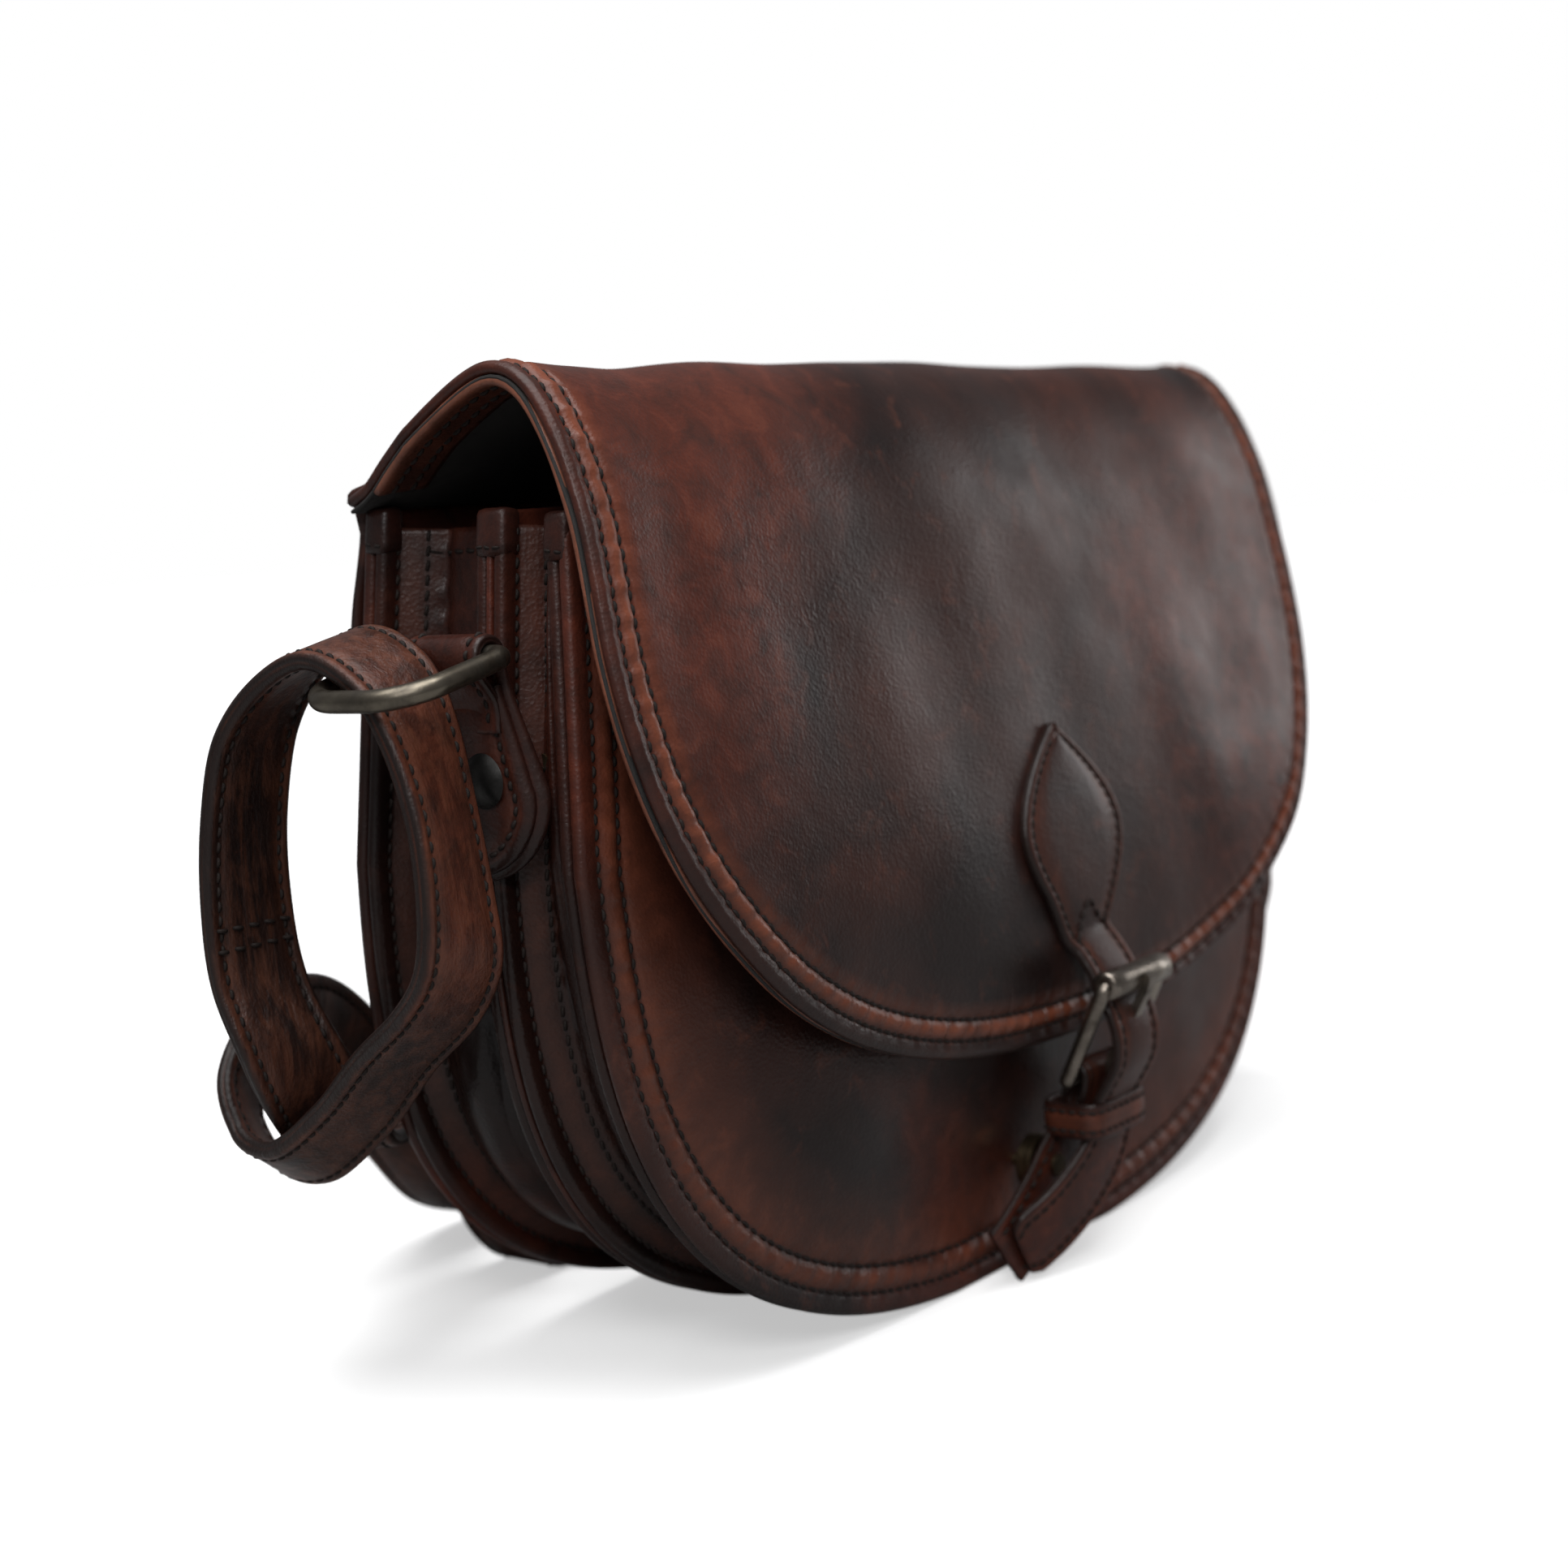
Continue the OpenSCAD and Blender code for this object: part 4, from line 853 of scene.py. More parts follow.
# The flap's face: rolled edge, stitch row, worn ridge, second row, then the open leather.
FLAP_T = 2.6
F_ROW_1, F_ROW_2 = 4.4, 9.4
FLAP_FACE = [(1.3, 0.25, -0.4), (2.2, 0.3, -0.4), (3.0, -0.05, -0.4), (3.7, -0.1, 0.1), (F_ROW_1, -0.6, 0.0),
             (5.1, 0.1, 0.4), (6.0, 0.6, 0.75), (6.9, 0.75, 0.8), (7.8, 0.6, 0.75), (8.7, 0.0, 0.4),
             (F_ROW_2, -0.6, 0.0), (10.2, 0.1, 0.35), (11.4, 0.45, 0.25), (14, 0.5, 0.0), (19, 0.4, 0.0)]


def flap_outline(step):
    """The free edge closed along the hinge."""
    u = flap_u(step)
    x = np.linspace(u[-1, 0], u[0, 0], int(280 / step))[1:-1]
    return np.concatenate([u, np.stack([x, np.zeros_like(x)], 1)])


def sewn_edge(line):
    """The flap's edge away from the hinge."""
    return ~((line[:, 1] > HINGE[1] - 14) & (line[:, 2] < HINGE[2] + 14))


part = Part()
g, at = plate(part, flap_outline(1.0), FLAP_CENTRE, FLAP_FACE, FLAP_T, flap_sheet, (7.0, 1.8, 0.3),
              SHRINK_FINE)
for seed, row in ((3, F_ROW_1), (4, F_ROW_2)):
    row_on(part, g, at[row], np.array([0, -0.5, 0.6]), sewn_edge, seed=seed, pitch=2.9)
part.place("flap_skin", SEWN, "flap", "flap_outer")

# Facing: the second rolled edge, sewn under the flap's rim.
part = Part()
u = flap_u(1.6)
u = u[u[:, 1] > 9]
n_out = away_from(u, FLAP_CENTRE)
section = [(0.55, -2.75), (0.15, -3.3), (0.0, -3.9), (0.2, -4.5), (0.8, -4.95), (2.0, -5.0), (4.4, -4.7),
           (7, -4.9), (9.4, -4.7), (12, -4.9), (14, -4.6), (14.2, -3.4), (13.6, -2.75), (7, -2.72),
           (2, -2.72)]
g = np.array([flap_sheet(u - n_out * d, np.full(len(u), h)) for d, h in section]).transpose(1, 0, 2)
part.tube(g, [0.9, 1, 1, 0.9, 0.5, 0.3] + [0.1] * 9)
normals = grid_normals(g)
for c in (6, 8):
    up = normals[:, c]
    if np.sum(up * (np.array([0, 5.0, 150.0]) - g[:, c])) < 0:
        up = -up
    stitches(part, g[:, c], up, seed=60 + c)
part.place("flap_facing_band", (FACING, THREAD), "flap", "flap_facing", slot="facing_leather")

part = Part()
plate(part, flap_outline(3.0), FLAP_CENTRE, [(13.0, 0.0, 0), (14, 0, 0), (20, 0, 0)], 1.0,
      lambda p, h, rho: flap_sheet(p, h - 2.9 - 0.3 * waves(p, 40, 44)), shrink=SHRINK_FINE)
part.place("flap_lining_cloth", HEMMED, "flap", "flap_lining", slot="lining_cloth")

# Hinge strip: the flap's leather runs on down the back panel, sewn with two rows.
part = Part()
back_run = [(back_y(z) + 2.4 + 2.2 * smoothstep(BACK_TOP - z, 4, 26), z)
            for z in (168.0, 172, 178, 184, 190, 195, 198.6)]
over = [(HINGE[1] + 2.6, HINGE[2] + 0.2), (HINGE[1] + 1.6, HINGE[2] + 1.9), (33.0, 203.9), (29.0, 206.3),
        (24.5, 209.4), (21.0, 211.6)]
line = resample(spline(back_run + over, 5), 1.3, 2)
line_n = turned(unit(np.gradient(line, axis=0)))
line_n *= np.sign(line_n[0, 0])
s = np.linspace(0, 1, len(line))
thin = 0.9 * np.clip(np.minimum(s, 1 - s) * 22, 0.15, 1)
half_x = np.where(line[:, 1] < HINGE[2], side_x(line[:, 1]) - 2.2, side_x(HINGE[2]) + 0.2)


def hinge_face(off):
    y, z = line[:, 0] + line_n[:, 0] * off, line[:, 1] + line_n[:, 1] * off
    return np.stack([np.stack([x * half_x, y, z], 1) for x in np.linspace(-1, 1, 150)])


outer = hinge_face(thin)
part.tube(np.concatenate([outer, hinge_face(-thin)[:, ::-1]], 1))
for row in (3, 7):
    path = outer[:, row]
    stitches(part, path, np.tile([0, *line_n[row]], (len(path), 1)), seed=70 + row)
hinge = part.make("hinge_strip", SEWN)
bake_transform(hinge)


# ---------------------------------------------------------------- leaf patch and closure strap

HEEL = joint_at("buckle_prong_hinge")
ROLLER = joint_at("buckle_roller_spin")
CLOSURE_X = HEEL[0]
# Heights of the leaf's tip, widest place and neck, and half widths of leaf and strap.
LEAF_TIP, LEAF_WIDE_Z, NECK_Z = 136.0, 110.0, 80.0
LEAF_HALF, BILLET_HALF = 22.0, 10.0
# The strap below the leaf, over the buckle and through the keeper: places and width directions.
BILLET_POINTS = [(0.5, -59.2, 85, 1, 0, 0), (1.5, -62.2, 80, 1, 0, 0), (2, -64.9, 75.4, 1, 0, 0),
                 (2, -66.6, 70.5, 1, 0, 0), (2, -69.4, 65.5, 1, 0, 0), (2, -70.9, 59.5, 1, 0, 0),
                 (2, -70.3, 53.5, 1, 0, 0), (2, -67.2, 48, 1, 0, 0), (2, -63.9, 42.5, 1, 0, 0),
                 (2, -62.2, 36.5, 1, 0, -0.02), (1, -61.4, 31, 1, 0, -0.2), (-3.5, -60.2, 25, 1, 0, -0.5),
                 (-9.5, -58.2, 19.3, 1, 0, -0.8), (-16, -55, 13.8, 1, 0, -1), (-24, -51, 8.8, 1, 0, -1.1)]


def leaf_width(z):
    top = LEAF_HALF * (1 - np.clip((z - LEAF_WIDE_Z) / (LEAF_TIP - LEAF_WIDE_Z), 0, 1) ** 1.7)
    waist = BILLET_HALF + (LEAF_HALF - BILLET_HALF) * (
        0.5 + 0.5 * np.cos(np.pi * np.clip((LEAF_WIDE_Z - z) / (LEAF_WIDE_Z - NECK_Z), 0, 1)))
    return np.where(z > LEAF_WIDE_Z, top, waist)


def strip_frames(p):
    t = unit(np.gradient(p[:, :3], axis=0))
    s = p[:, 3:6] - t * np.sum(p[:, 3:6] * t, 1, keepdims=True)
    s = unit(s)
    return t, s, np.cross(t, s)


def leather_strip(part, p, half, r, puff, rim, edge_tone=-1.0, groove=3.0):
    """A strip 2 * r thick with rounded inked edges. p holds places and width directions, half is
    the half width, rim and puff are the heights of its border and of its middle. Returns the
    grid of columns, the width directions and the normals."""
    t, s, n = strip_frames(p)
    reach = np.maximum(np.broadcast_to(half, (len(p),)).astype(float), 0.3)
    inner = reach * np.clip(1 - groove / reach, 0.0, 1)
    across = [(-reach, 0.55, edge_tone), (-reach + np.minimum(0.35, reach * 0.3), 0.9, edge_tone * 0.7),
              (-reach + np.minimum(1.1, reach * 0.5), 1.0 + rim, 0.35),
              (-inner - np.minimum(0.7, reach * 0.1), 1.0 + rim * 0.4, 0.1), (-inner, 1.0 - 0.22, 0.0),
              (-inner + np.minimum(0.8, reach * 0.1), 1.0 + 0.1, 0.25),
              (-inner * 0.55, 1.0 + puff * 0.8, 0.0), (reach * 0, 1.0 + puff, 0.0)]
    across += [(-x, h, tone) for x, h, tone in reversed(across[:-1])]
    cols, tones = [], []
    for sign, bulge, rub in ((1, 1.0, 0.8), (-1, 0.3, 0.5)):
        for x, h, tone in across:
            cols.append((sign * x, sign * (r * min(h, 1) + max(h - 1, 0) * bulge)))
            tones.append(tone if tone < 0 else tone * rub)
        for out, h, ink in ((0.12, 0.22, 1), (-0.12, 0, 0.5), (0.12, -0.22, 1)):
            cols.append((sign * (reach + out), sign * r * h))
            tones.append(edge_tone * ink)
    g = np.stack([p[:, :3] + s * x[:, None] + n * h for x, h in cols], 1)
    part.tube(g, tones)
    return g, s, n


# Columns of the stitch rows on a strip's two faces.
FACE_COLS = 18
TOP_ROWS = (4, 10)
BACK_ROWS = (FACE_COLS + 4, FACE_COLS + 10)


def sew_strip(part, g, n, seed, faces=(1, -1), keep=slice(None), **kw):
    """Two stitch rows on each of the faces, 1 for the side that the normals n point to."""
    for sign in faces:
        for c in TOP_ROWS if sign > 0 else BACK_ROWS:
            stitches(part, g[keep, c], n[keep] * sign, seed=seed + c, **kw)


leaf_l = np.linspace(float(length_at(LEAF_TIP - 0.2)), float(length_at(88.0)), 40)
on_flap = flap_sheet(np.stack([np.zeros_like(leaf_l), leaf_l], 1), 1.35)
on_flap = np.concatenate([on_flap, np.tile([1, 0, 0], (len(on_flap), 1))], 1)
leaf = resample(spline(np.concatenate([on_flap[::4], BILLET_POINTS]), 6), 1.0)
run = lengths(leaf[:, :3])
is_strap = (leaf[:, 1] < -60) | (np.arange(len(leaf)) > 80)
half = np.where(is_strap, BILLET_HALF, leaf_width(leaf[:, 2])) * np.clip(0.78 + (run[-1] - run) / 14, 0.78, 1)
part = Part()
g, s_dir, n_dir = leather_strip(part, leaf, half, 1.1, 0.55, 0.35)
front_sign = np.sign(np.sum(n_dir * np.array([0, -1, 0]), 1).mean())
sew_strip(part, g, n_dir, 80, [front_sign], half > 4.5, pitch=2.9)
# Chevron of stitches where the patch becomes the strap.
spot = [int(np.argmin(np.abs(leaf[:, 2] - z))) for z in np.linspace(92, 84, 9)]
for side in (-1, 1):
    across = side * np.linspace(0.3, 7.5, 9)[:, None]
    stitches(part, leaf[spot, :3] + s_dir[spot] * across + n_dir[spot] * front_sign * 1.55,
             n_dir[spot] * front_sign, seed=90, pitch=2.8)
strap = part.make("leaf_and_strap", SEWN)
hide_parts("leaf_patch", "billet_tail")
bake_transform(strap)

# Rear tail: round the buckle's heel bar and down to the snap. WRAP is the radius of the
# leather's middle round a buckle's bar.
WRAP = 2.6
around = [(CLOSURE_X, HEEL[1] + 4.4, HEEL[2] - 7, 1, 0, 0)]
around += [(CLOSURE_X, HEEL[1] + WRAP * math.cos(a), HEEL[2] + WRAP * math.sin(a), 1, 0, 0)
           for a in np.radians([-20, 25, 70, 115, 160, 200])]
CHAPE_TAIL = [(-27, -48.2, 7.6, 1, 0, -1.1), (-21, -49.8, 12.5, 1, 0, -1.1), (-13, -51.2, 20, 1, 0, -0.9),
              (-5, -51.5, 27, 1, 0, -0.6), (1.8, -52.6, 34, 1, 0, -0.04)]
chape = CHAPE_TAIL + around + [(CLOSURE_X, -60.3, 43.5, 1, 0, 0), (CLOSURE_X, -58.2, 37, 1, 0, 0)]
chape = resample(spline(chape, 8), 0.9)
part = Part()
g, s_dir, n_dir = leather_strip(part, chape, 9.9, 0.9, 0.3, 0.2)
sew_strip(part, g, n_dir, 100, keep=slice(2, 48))
part.place("buckle_chape_leather", SEWN, "closure", "buckle_chape")


# Section of a keeper: place across it, height over the CAD's loop, and wear.
KEEPER_SECTION = [
    (-1.0, -0.9, -0.8), (-1.0, -0.15, -0.8), (-0.92, 0.05, -0.3), (-0.7, 0.1, 0.2), (-0.55, -0.12, 0),
    (-0.35, 0.15, 0.4), (0, 0.3, 0.3), (0.35, 0.15, 0.4), (0.55, -0.12, 0), (0.7, 0.1, 0.2),
    (0.92, 0.05, -0.3), (1.0, -0.15, -0.8), (1.0, -0.9, -0.8), (0.8, -1.25, 0), (0, -1.25, 0),
    (-0.8, -1.25, 0)]


def keeper(name, node, body, axis, seed):
    """A narrow leather loop with two stitch rows, round a strap that runs along the axis."""
    low, high = node_box(node)
    c, h = (low + high) / 2, (high - low) / 2
    u, v = (0, 1) if axis == 2 else (1, 2)
    loop = squarish(np.linspace(0, TAU, 97)[:-1], 0.42)
    g = np.zeros((len(loop), len(KEEPER_SECTION), 3))
    for k, (across, lift, _) in enumerate(KEEPER_SECTION):
        g[:, k, u] = c[u] + (h[u] + lift) * loop[:, 0]
        g[:, k, v] = c[v] + (h[v] + lift) * loop[:, 1]
        g[:, k, axis] = c[axis] + h[axis] * across
    part = Part()
    part.tube(g, [tone for _, _, tone in KEEPER_SECTION], ring=True)
    for k in (4, 8):
        line = np.concatenate([g[:, k], g[:1, k]])
        out = line - c
        out[:, axis] = 0
        stitches(part, line, unit(out), seed=seed + k, pitch=2.7, size=2.2)
    part.place(name, SEWN, body, node)


keeper("buckle_keeper_loop", "buckle_keeper", "closure", 2, 110)
keeper("adjuster_keeper_loop", "adjuster_keeper", "adjuster_keeper", 0, 120)


# ---------------------------------------------------------------- ring tabs

TAB_Y, BAR_Z = joint_at("ring_left_swing")[1], joint_at("ring_left_swing")[2]
BAR_X = abs(joint_at("ring_left_swing")[0])
TAB_X = HALF_W + 0.6
TAB_T = 2.2
RING_WIRE = 2.43
# The tab's round end, with the middle's height and the radius, and half the width above it.
PADDLE_Z, PADDLE_R, TAB_HALF = 136.0, 17.0, 11.0


def paddle(r, top, step):
    a = np.radians(np.linspace(-200, 20, 60))
    low = np.stack([r * np.cos(a), PADDLE_Z + r * np.sin(a)], 1)
    neck = np.array([[TAB_HALF + 0.8, PADDLE_Z + 18], [TAB_HALF, PADDLE_Z + 25], [TAB_HALF, top]])
    p = np.concatenate([neck[::-1] * (-1, 1), low, neck])
    p = resample(spline(p[::3].tolist() + [p[-1].tolist()], 6), step, 2)
    close = np.stack([np.linspace(p[-1, 0], p[0, 0], 12), np.full(12, p[-1, 1])], 1)[1:]
    return resample(np.concatenate([p, close]), step, 2)[:-1]


def ring_tab(name, node, side):
    part = Part()

    def sheet_at(base, drape):
        def sheet(p, h, rho):
            v, z = p[..., 0], p[..., 1]
            low = smoothstep(BAR_Z - z, 4, 24)
            x = base - drape * (np.abs(v) / PADDLE_R) ** 2.4 * low + h
            x = x + 0.35 * waves(p, 18, 9) * low
            return np.stack([side * x, TAB_Y + v, z], -1)
        return sheet

    row = 3.5
    face = [(1.1, 0.1, -0.5), (2.0, 0.3, 0.2), (2.8, 0.05, 0.1), (row, -0.3, 0.0), (4.3, 0.1, 0.3),
            (6, 0.35, 0.0), (9, 0.4, 0.0)]
    for rim, base in ((paddle(PADDLE_R, BAR_Z - 1, 0.9), TAB_X + TAB_T),
                      (paddle(PADDLE_R - 1.5, BAR_Z - 6, 0.9), TAB_X + 1.9 * TAB_T)):
        g, at = plate(part, rim, (0, PADDLE_Z + 4), face, TAB_T, sheet_at(base, 4.6))
    row_on(part, g, at[row], np.array([side, 0, 0]), lambda line: line[:, 2] < BAR_Z - 9,
           seed=5, pitch=2.8, size=2.3)
    # The leather turned over the ring's bar.
    r = RING_WIRE + TAB_T / 2
    turn = [(TAB_X + TAB_T / 2, BAR_Z - 8), (TAB_X + TAB_T / 2, BAR_Z - 3)]
    turn += [(BAR_X - r * math.cos(a), BAR_Z + r * math.sin(a))
             for a in np.radians([0, 30, 60, 90, 120, 150, 178])]
    turn += [(BAR_X + r * 0.86, BAR_Z - 3.5), (TAB_X + 1.6 * TAB_T, BAR_Z - 9.5),
             (TAB_X + 1.5 * TAB_T, BAR_Z - 16)]
    line = np.array([(side * x, TAB_Y, z, 0, 1, 0) for x, z in turn])
    line = resample(spline(line, 6), 0.8)
    g, s_dir, n_dir = leather_strip(part, line, TAB_HALF, TAB_T / 2, 0.35, 0.25, -0.8, 2.6)
    sew_strip(part, g, n_dir, 130, [np.sign(n_dir[len(line) // 2, 2])], slice(6, -2), pitch=2.8, size=2.3)
    part.place(name, SEWN_PAINTED_SHADE, "bag", node)


ring_tab("ring_tab_left_leather", "ring_tab_left", -1)
ring_tab("ring_tab_right_leather", "ring_tab_right", 1)


# ---------------------------------------------------------------- shoulder strap

# Width and half thickness of the strap.
STRAP_W, STRAP_T = 21.7, 1.9
# Route of the strap: place and width direction, from the tongue through the left ring,
# behind the bag and up to the right ring.
ROUTE = [
    (8, 74, 10, 0, -1, 0), (-18, 74, 10.2, 0, -1, 0), (-38, 74, 10.6, 0, -1, 0),
    (-50, 74, 6.8, 0, -1, 0), (-65.5, 74, 2.4, 0, -1, 0), (-77, 74, 11, 0, -1, 0),
    (-89, 73, 33, 0.1, -1, 0), (-108, 69, 50, 0.25, -0.97, 0), (-134, 57, 53.5, 0.6, -0.8, 0),
    (-150, 46.2, 57.5, 0.8, -0.6, 0), (-163, 38, 70, 0.93, -0.36, 0), (-171, 37, 84, 0.97, -0.25, 0),
    (-173.5, 42, 100, 1, -0.2, 0), (-174, 43, 118, 1, -0.08, 0), (-173, 42, 136, 1, 0, 0),
    (-171, 38, 153, 1, 0, 0.12), (-169, 27, 165.5, 1, 0, 0.2), (-168.6, 12, 170.8, 1, 0, 0.21),
    (-168.6, -2, 165, 1, 0.04, 0.21), (-168.8, -10, 153, 1, 0.14, 0.14), (-169, -15, 136, 1, 0.22, 0.05),
    (-169, -17, 118, 1, 0.12, 0), (-169, -16, 105, 1, -0.05, -0.05), (-168, -7, 94, 1, -0.05, -0.2),
    (-167, 8, 83, 0.93, 0.05, -0.3), (-166, 24, 69, 0.88, 0.1, -0.42), (-166, 42, 57.5, 0.82, 0.2, -0.52),
    (-165, 57, 58, 0.78, 0.3, -0.55), (-162, 67, 68, 0.65, 0.35, -0.65), (-152, 71, 77, 0.35, 0.3, -0.85),
    (-134, 75, 80, 0.05, 0.2, -1), (-112, 86, 66, -0.05, 0.45, -0.88), (-88, 99, 38, 0, 0.75, -0.6),
    (-66, 108, 14, 0.1, 0.95, -0.25), (-42, 110, 4.8, 0.25, 1, 0), (0, 97, 5, 0.33, 0.94, 0),
    (45, 80, 5, 0.35, 0.94, 0), (80, 70, 6.5, 0.3, 0.95, 0), (112, 60, 14, 0.5, 0.87, 0),
    (142, 44, 26, 0.7, 0.7, 0), (166, 16, 37, 0.93, 0.35, 0), (173, -4, 45, 1, 0.1, 0),
    (175, -12, 62, 1, 0, 0), (174, -10, 82, 1, 0, 0), (171, -3, 100, 1, 0, 0), (169.4, 4.2, 117, 1, 0, 0),
    (168.5, 6, 136, 1, 0, -0.05), (168.4, 1, 152, 1, 0, -0.21), (168.4, 0.4, 162, 1, 0, -0.21),
    (168.4, 9.4, 171.3, 1, 0, -0.21), (168.4, 17, 163, 1, 0, -0.21), (168.4, 16, 150, 1, 0, -0.15),
    (168.8, 13.2, 136, 1, 0, -0.05), (169, 11.4, 120, 1, 0, 0)]
# The two halves meet behind the bag, at this point of the route; each gap has this many steps.
SPLIT, FINE = 35, 12


def shoulder_strap(name, a, b, ring, nodes, seed):
    whole = spline(ROUTE, FINE)
    p = resample(whole[a * FINE:b * FINE + 1], 1.5)
    part = Part()
    g, s_dir, n_dir = leather_strip(part, p, STRAP_W / 2, STRAP_T, 0.12, 0.12, groove=2.9)
    sew_strip(part, g, n_dir, seed, pitch=3.2, size=2.6)
    if ring == "ring_left":
        # Cross seam on the outer length of the loop.
        leg = np.flatnonzero((p[:, 0] < -172) & (p[:, 1] > 38) & (p[:, 2] > 106) & (p[:, 2] < 117))
        for i in (leg[0], leg[0] + 3):
            for sign in (-1, 1):
                across = np.linspace(-STRAP_W / 2 + 1, STRAP_W / 2 - 1, 12)[:, None]
                row = p[i, :3] + across * s_dir[i] + sign * (STRAP_T + 0.2) * n_dir[i]
                stitches(part, row, np.tile(sign * n_dir[i], (12, 1)), seed=seed + i)
    obj = part.make(name, (STRAP, THREAD))
    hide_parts(*nodes)
    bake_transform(obj)


shoulder_strap("shoulder_strap_left", 0, SPLIT, "ring_left",
               ("strap_tongue", "strap_tongue_inner", "strap_fold_left", "strap_fold_left_inner"), 140)
shoulder_strap("shoulder_strap_right", SPLIT, len(ROUTE) - 1, "ring_right",
               ("strap_run", "strap_run_inner", "strap_fold_right", "strap_fold_right_inner"), 160)

# The strip that holds the adjuster buckle.
low, high = node_box("adjuster_chape")
heel = joint_at("adjuster_prong_hinge")
wrap = [(x, heel[1], heel[2] - WRAP, 0, -1, 0) for x in (high[0], high[0] - 30, heel[0] + 12, heel[0] + 4)]
wrap += [(heel[0] + WRAP * math.cos(a), heel[1], heel[2] + WRAP * math.sin(a), 0, -1, 0)
         for a in np.radians([-100, -140, 180, 140, 100, 60])]
wrap += [(heel[0] + x, heel[1], heel[2] + z, 0, -1, 0) for x, z in ((9, 0.7), (17, -0.5), (30, -0.7))]
part = Part()
line = resample(spline(wrap, 8), 1.0)
leather_strip(part, line, STRAP_W / 2, 0.9, 0.15, 0.1, groove=2.9)
part.place("adjuster_chape_leather", (STRAP, THREAD), "bag", "adjuster_chape")


# ---------------------------------------------------------------- hardware kept from the CAD

def roller_sleeve():
    """The roller: a sleeve as wide as the frame, which covers the frame's front bar."""
    part = Part()
    a = np.linspace(0, TAU, 49)[:-1]
    half, r = 13.6, 3.5
    shape = [(-half + 0.6, 1.6), (-half, 1.9), (-half, r - 0.5), (-half + 0.5, r), (-half + 6, r + 0.03)]
    shape += [(0, r)] + [(-x, q) for x, q in reversed(shape)]
    g = [np.stack([np.full(len(a), ROLLER[0] + x), ROLLER[1] + q * np.cos(a), ROLLER[2] + q * np.sin(a)], 1)
         for x, q in shape]
    part.tube(np.array(g))
    obj = part.make("buckle_roller_sleeve", (NICKEL, THREAD))
    obj.data.set_sharp_from_angle(angle=math.radians(50))
    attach(obj, "buckle_roller")
    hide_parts("buckle_roller")


roller_sleeve()

FINISH = [
    (RING, ("d_ring_left", "d_ring_right")),
    (GUN, ("tab_rivets", "snap_magnet")),
    (NICKEL, ("buckle_frame", "buckle_prong", "adjuster_frame", "adjuster_roller", "adjuster_prong")),
    (BRASS, ("tab_washers", "snap_socket", "snap_washer", "snap_stud", "strap_rivet", "adjuster_rivet",
             "zip_teeth", "zip_slider", "zip_puller"))]
for finish, nodes in FINISH:
    for node in nodes:
        mesh = frame["nodes"][node].data
        mesh.materials.clear()
        mesh.materials.append(finish)
        mesh.polygons.foreach_set("material_index", [0] * len(mesh.polygons))
        mesh.polygons.foreach_set("use_smooth", [True] * len(mesh.polygons))
        mesh.set_sharp_from_angle(angle=math.radians(38))


# ---------------------------------------------------------------- floor, light and camera

def camera_mix(tree, seen, other):
    """Value that is one thing to the camera and another to every other ray."""
    path = tree.nodes.new("ShaderNodeLightPath")
    mix = tree.nodes.new("ShaderNodeMix")
    mix.data_type = "RGBA"
    mix.inputs[6].default_value = other
    mix.inputs[7].default_value = seen
    tree.links.new(path.outputs["Is Camera Ray"], mix.inputs[0])
    return mix.outputs[2]


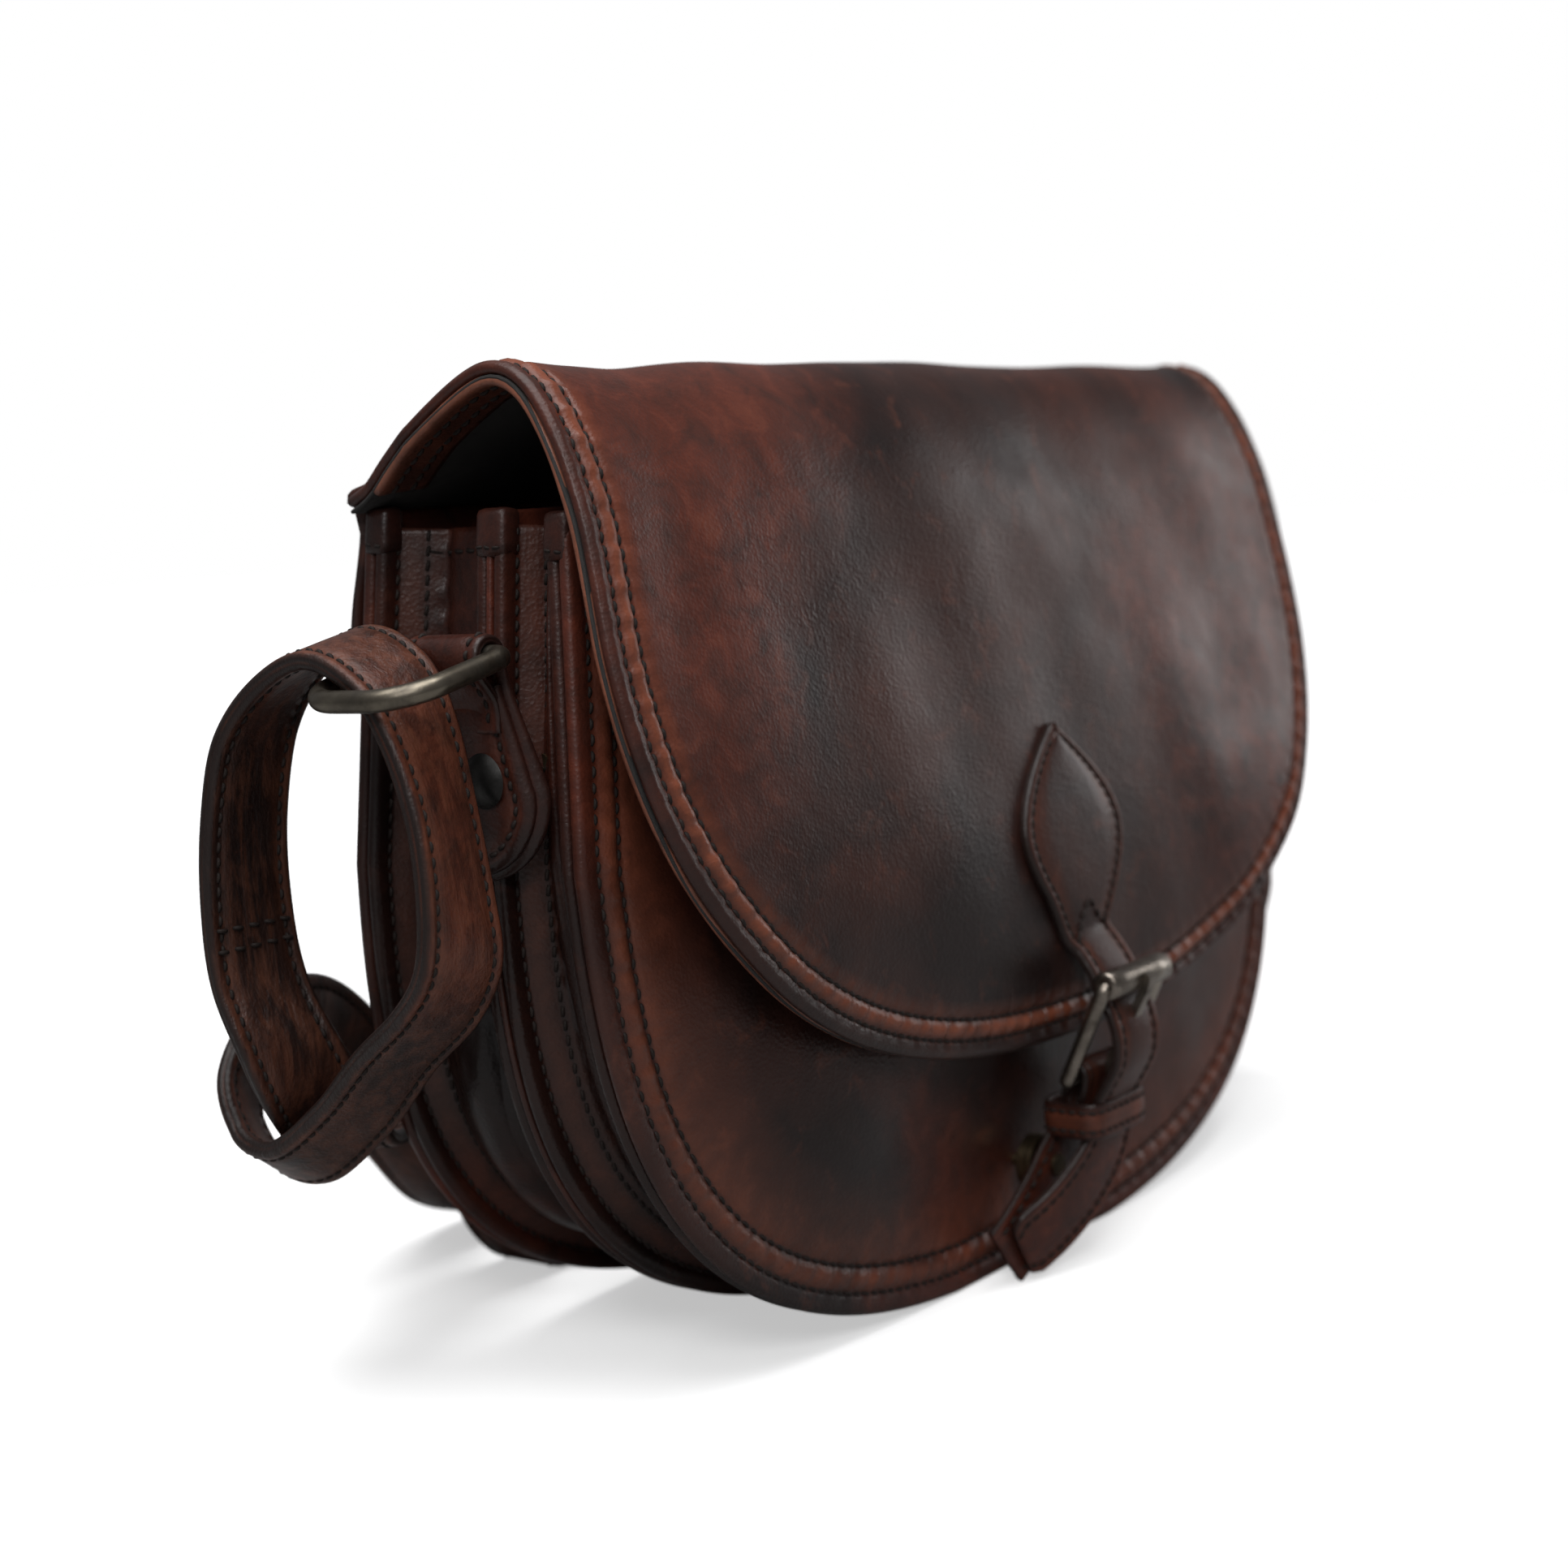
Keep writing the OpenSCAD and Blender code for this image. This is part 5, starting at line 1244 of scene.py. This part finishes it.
mat, inputs, net = shader("floor_pale")
net.put(inputs["Base Color"], camera_mix(net.tree, rgba(0.9, 0.9, 0.9), rgba(0.34, 0.34, 0.34)))
net.put(inputs["Emission Color"], camera_mix(net.tree, rgba(1, 1, 1), rgba(0, 0, 0)))
away = net.node("ShaderNodeVectorMath", operation="LENGTH")
net.put(away.inputs[0], net.coords)
net.put(inputs["Emission Strength"], net.fit(away.outputs["Value"], 0.4, 1.1, 0.5, 1.0))
inputs["Roughness"].default_value = 0.9
inputs["Specular IOR Level"].default_value = 0.1
mesh = bpy.data.meshes.new("floor")
size = 8.0
mesh.from_pydata([(-size, -size, 0), (size, -size, 0), (size, size, 0), (-size, size, 0)], [], [(0, 1, 2, 3)])
mesh.materials.append(mat)
floor = bpy.data.objects.new("floor", mesh)
bpy.context.scene.collection.objects.link(floor)

world = bpy.data.worlds.new("studio")
world.use_nodes = True
tree = world.node_tree
tree.links.new(camera_mix(tree, rgba(1, 1, 1), rgba(0.20, 0.20, 0.205)), tree.nodes["Background"].inputs[0])
bpy.context.scene.world = world


def area(name, place, target, width, height, power):
    light = bpy.data.lights.new(name, "AREA")
    light.shape = "RECTANGLE"
    light.size, light.size_y = width, height
    light.energy = power
    obj = bpy.data.objects.new(name, light)
    z = unit(np.array(place, float) - np.array(target, float))
    x = unit(np.cross([0, 0, 1.0], z)) if abs(z[2]) < 0.99 else np.array([1.0, 0, 0])
    y = np.cross(z, x)
    obj.matrix_world = Matrix([(x[k], y[k], z[k], place[k]) for k in range(3)] + [(0, 0, 0, 1)])
    bpy.context.scene.collection.objects.link(obj)


area("key_top", (-0.35, -0.15, 1.4), (0, 0, 0.05), 1.3, 1.1, 21)
area("window_left", (-1.15, -0.9, 1.0), (-0.1, 0, 0.12), 0.5, 0.4, 8)
area("window_right", (1.4, -0.5, 0.42), (0.05, 0, 0.1), 0.5, 0.7, 2.8)

camera = bpy.data.cameras.new("camera")
camera.lens = 55.67
camera.sensor_width = 36.0
camera.clip_start = 0.01
camera.dof.use_dof = True
camera.dof.aperture_fstop = 9.0
focus = bpy.data.objects.new("focus", None)
focus.location = (-HALF_W * MM, -0.02, 0.15)
bpy.context.scene.collection.objects.link(focus)
camera.dof.focus_object = focus
cam = bpy.data.objects.new("camera", camera)
right, up, back = (0.6209, -0.7808, -0.0686), (0.1321, 0.0179, 0.9911), (-0.7726, -0.6245, 0.1143)
eye = (-0.5028, -0.3737, 0.1937)
cam.matrix_world = Matrix([(right[k], up[k], back[k], eye[k]) for k in range(3)] + [(0, 0, 0, 1)])
bpy.context.scene.collection.objects.link(cam)
bpy.context.scene.camera = cam
bpy.context.scene.view_settings.view_transform = "Standard"
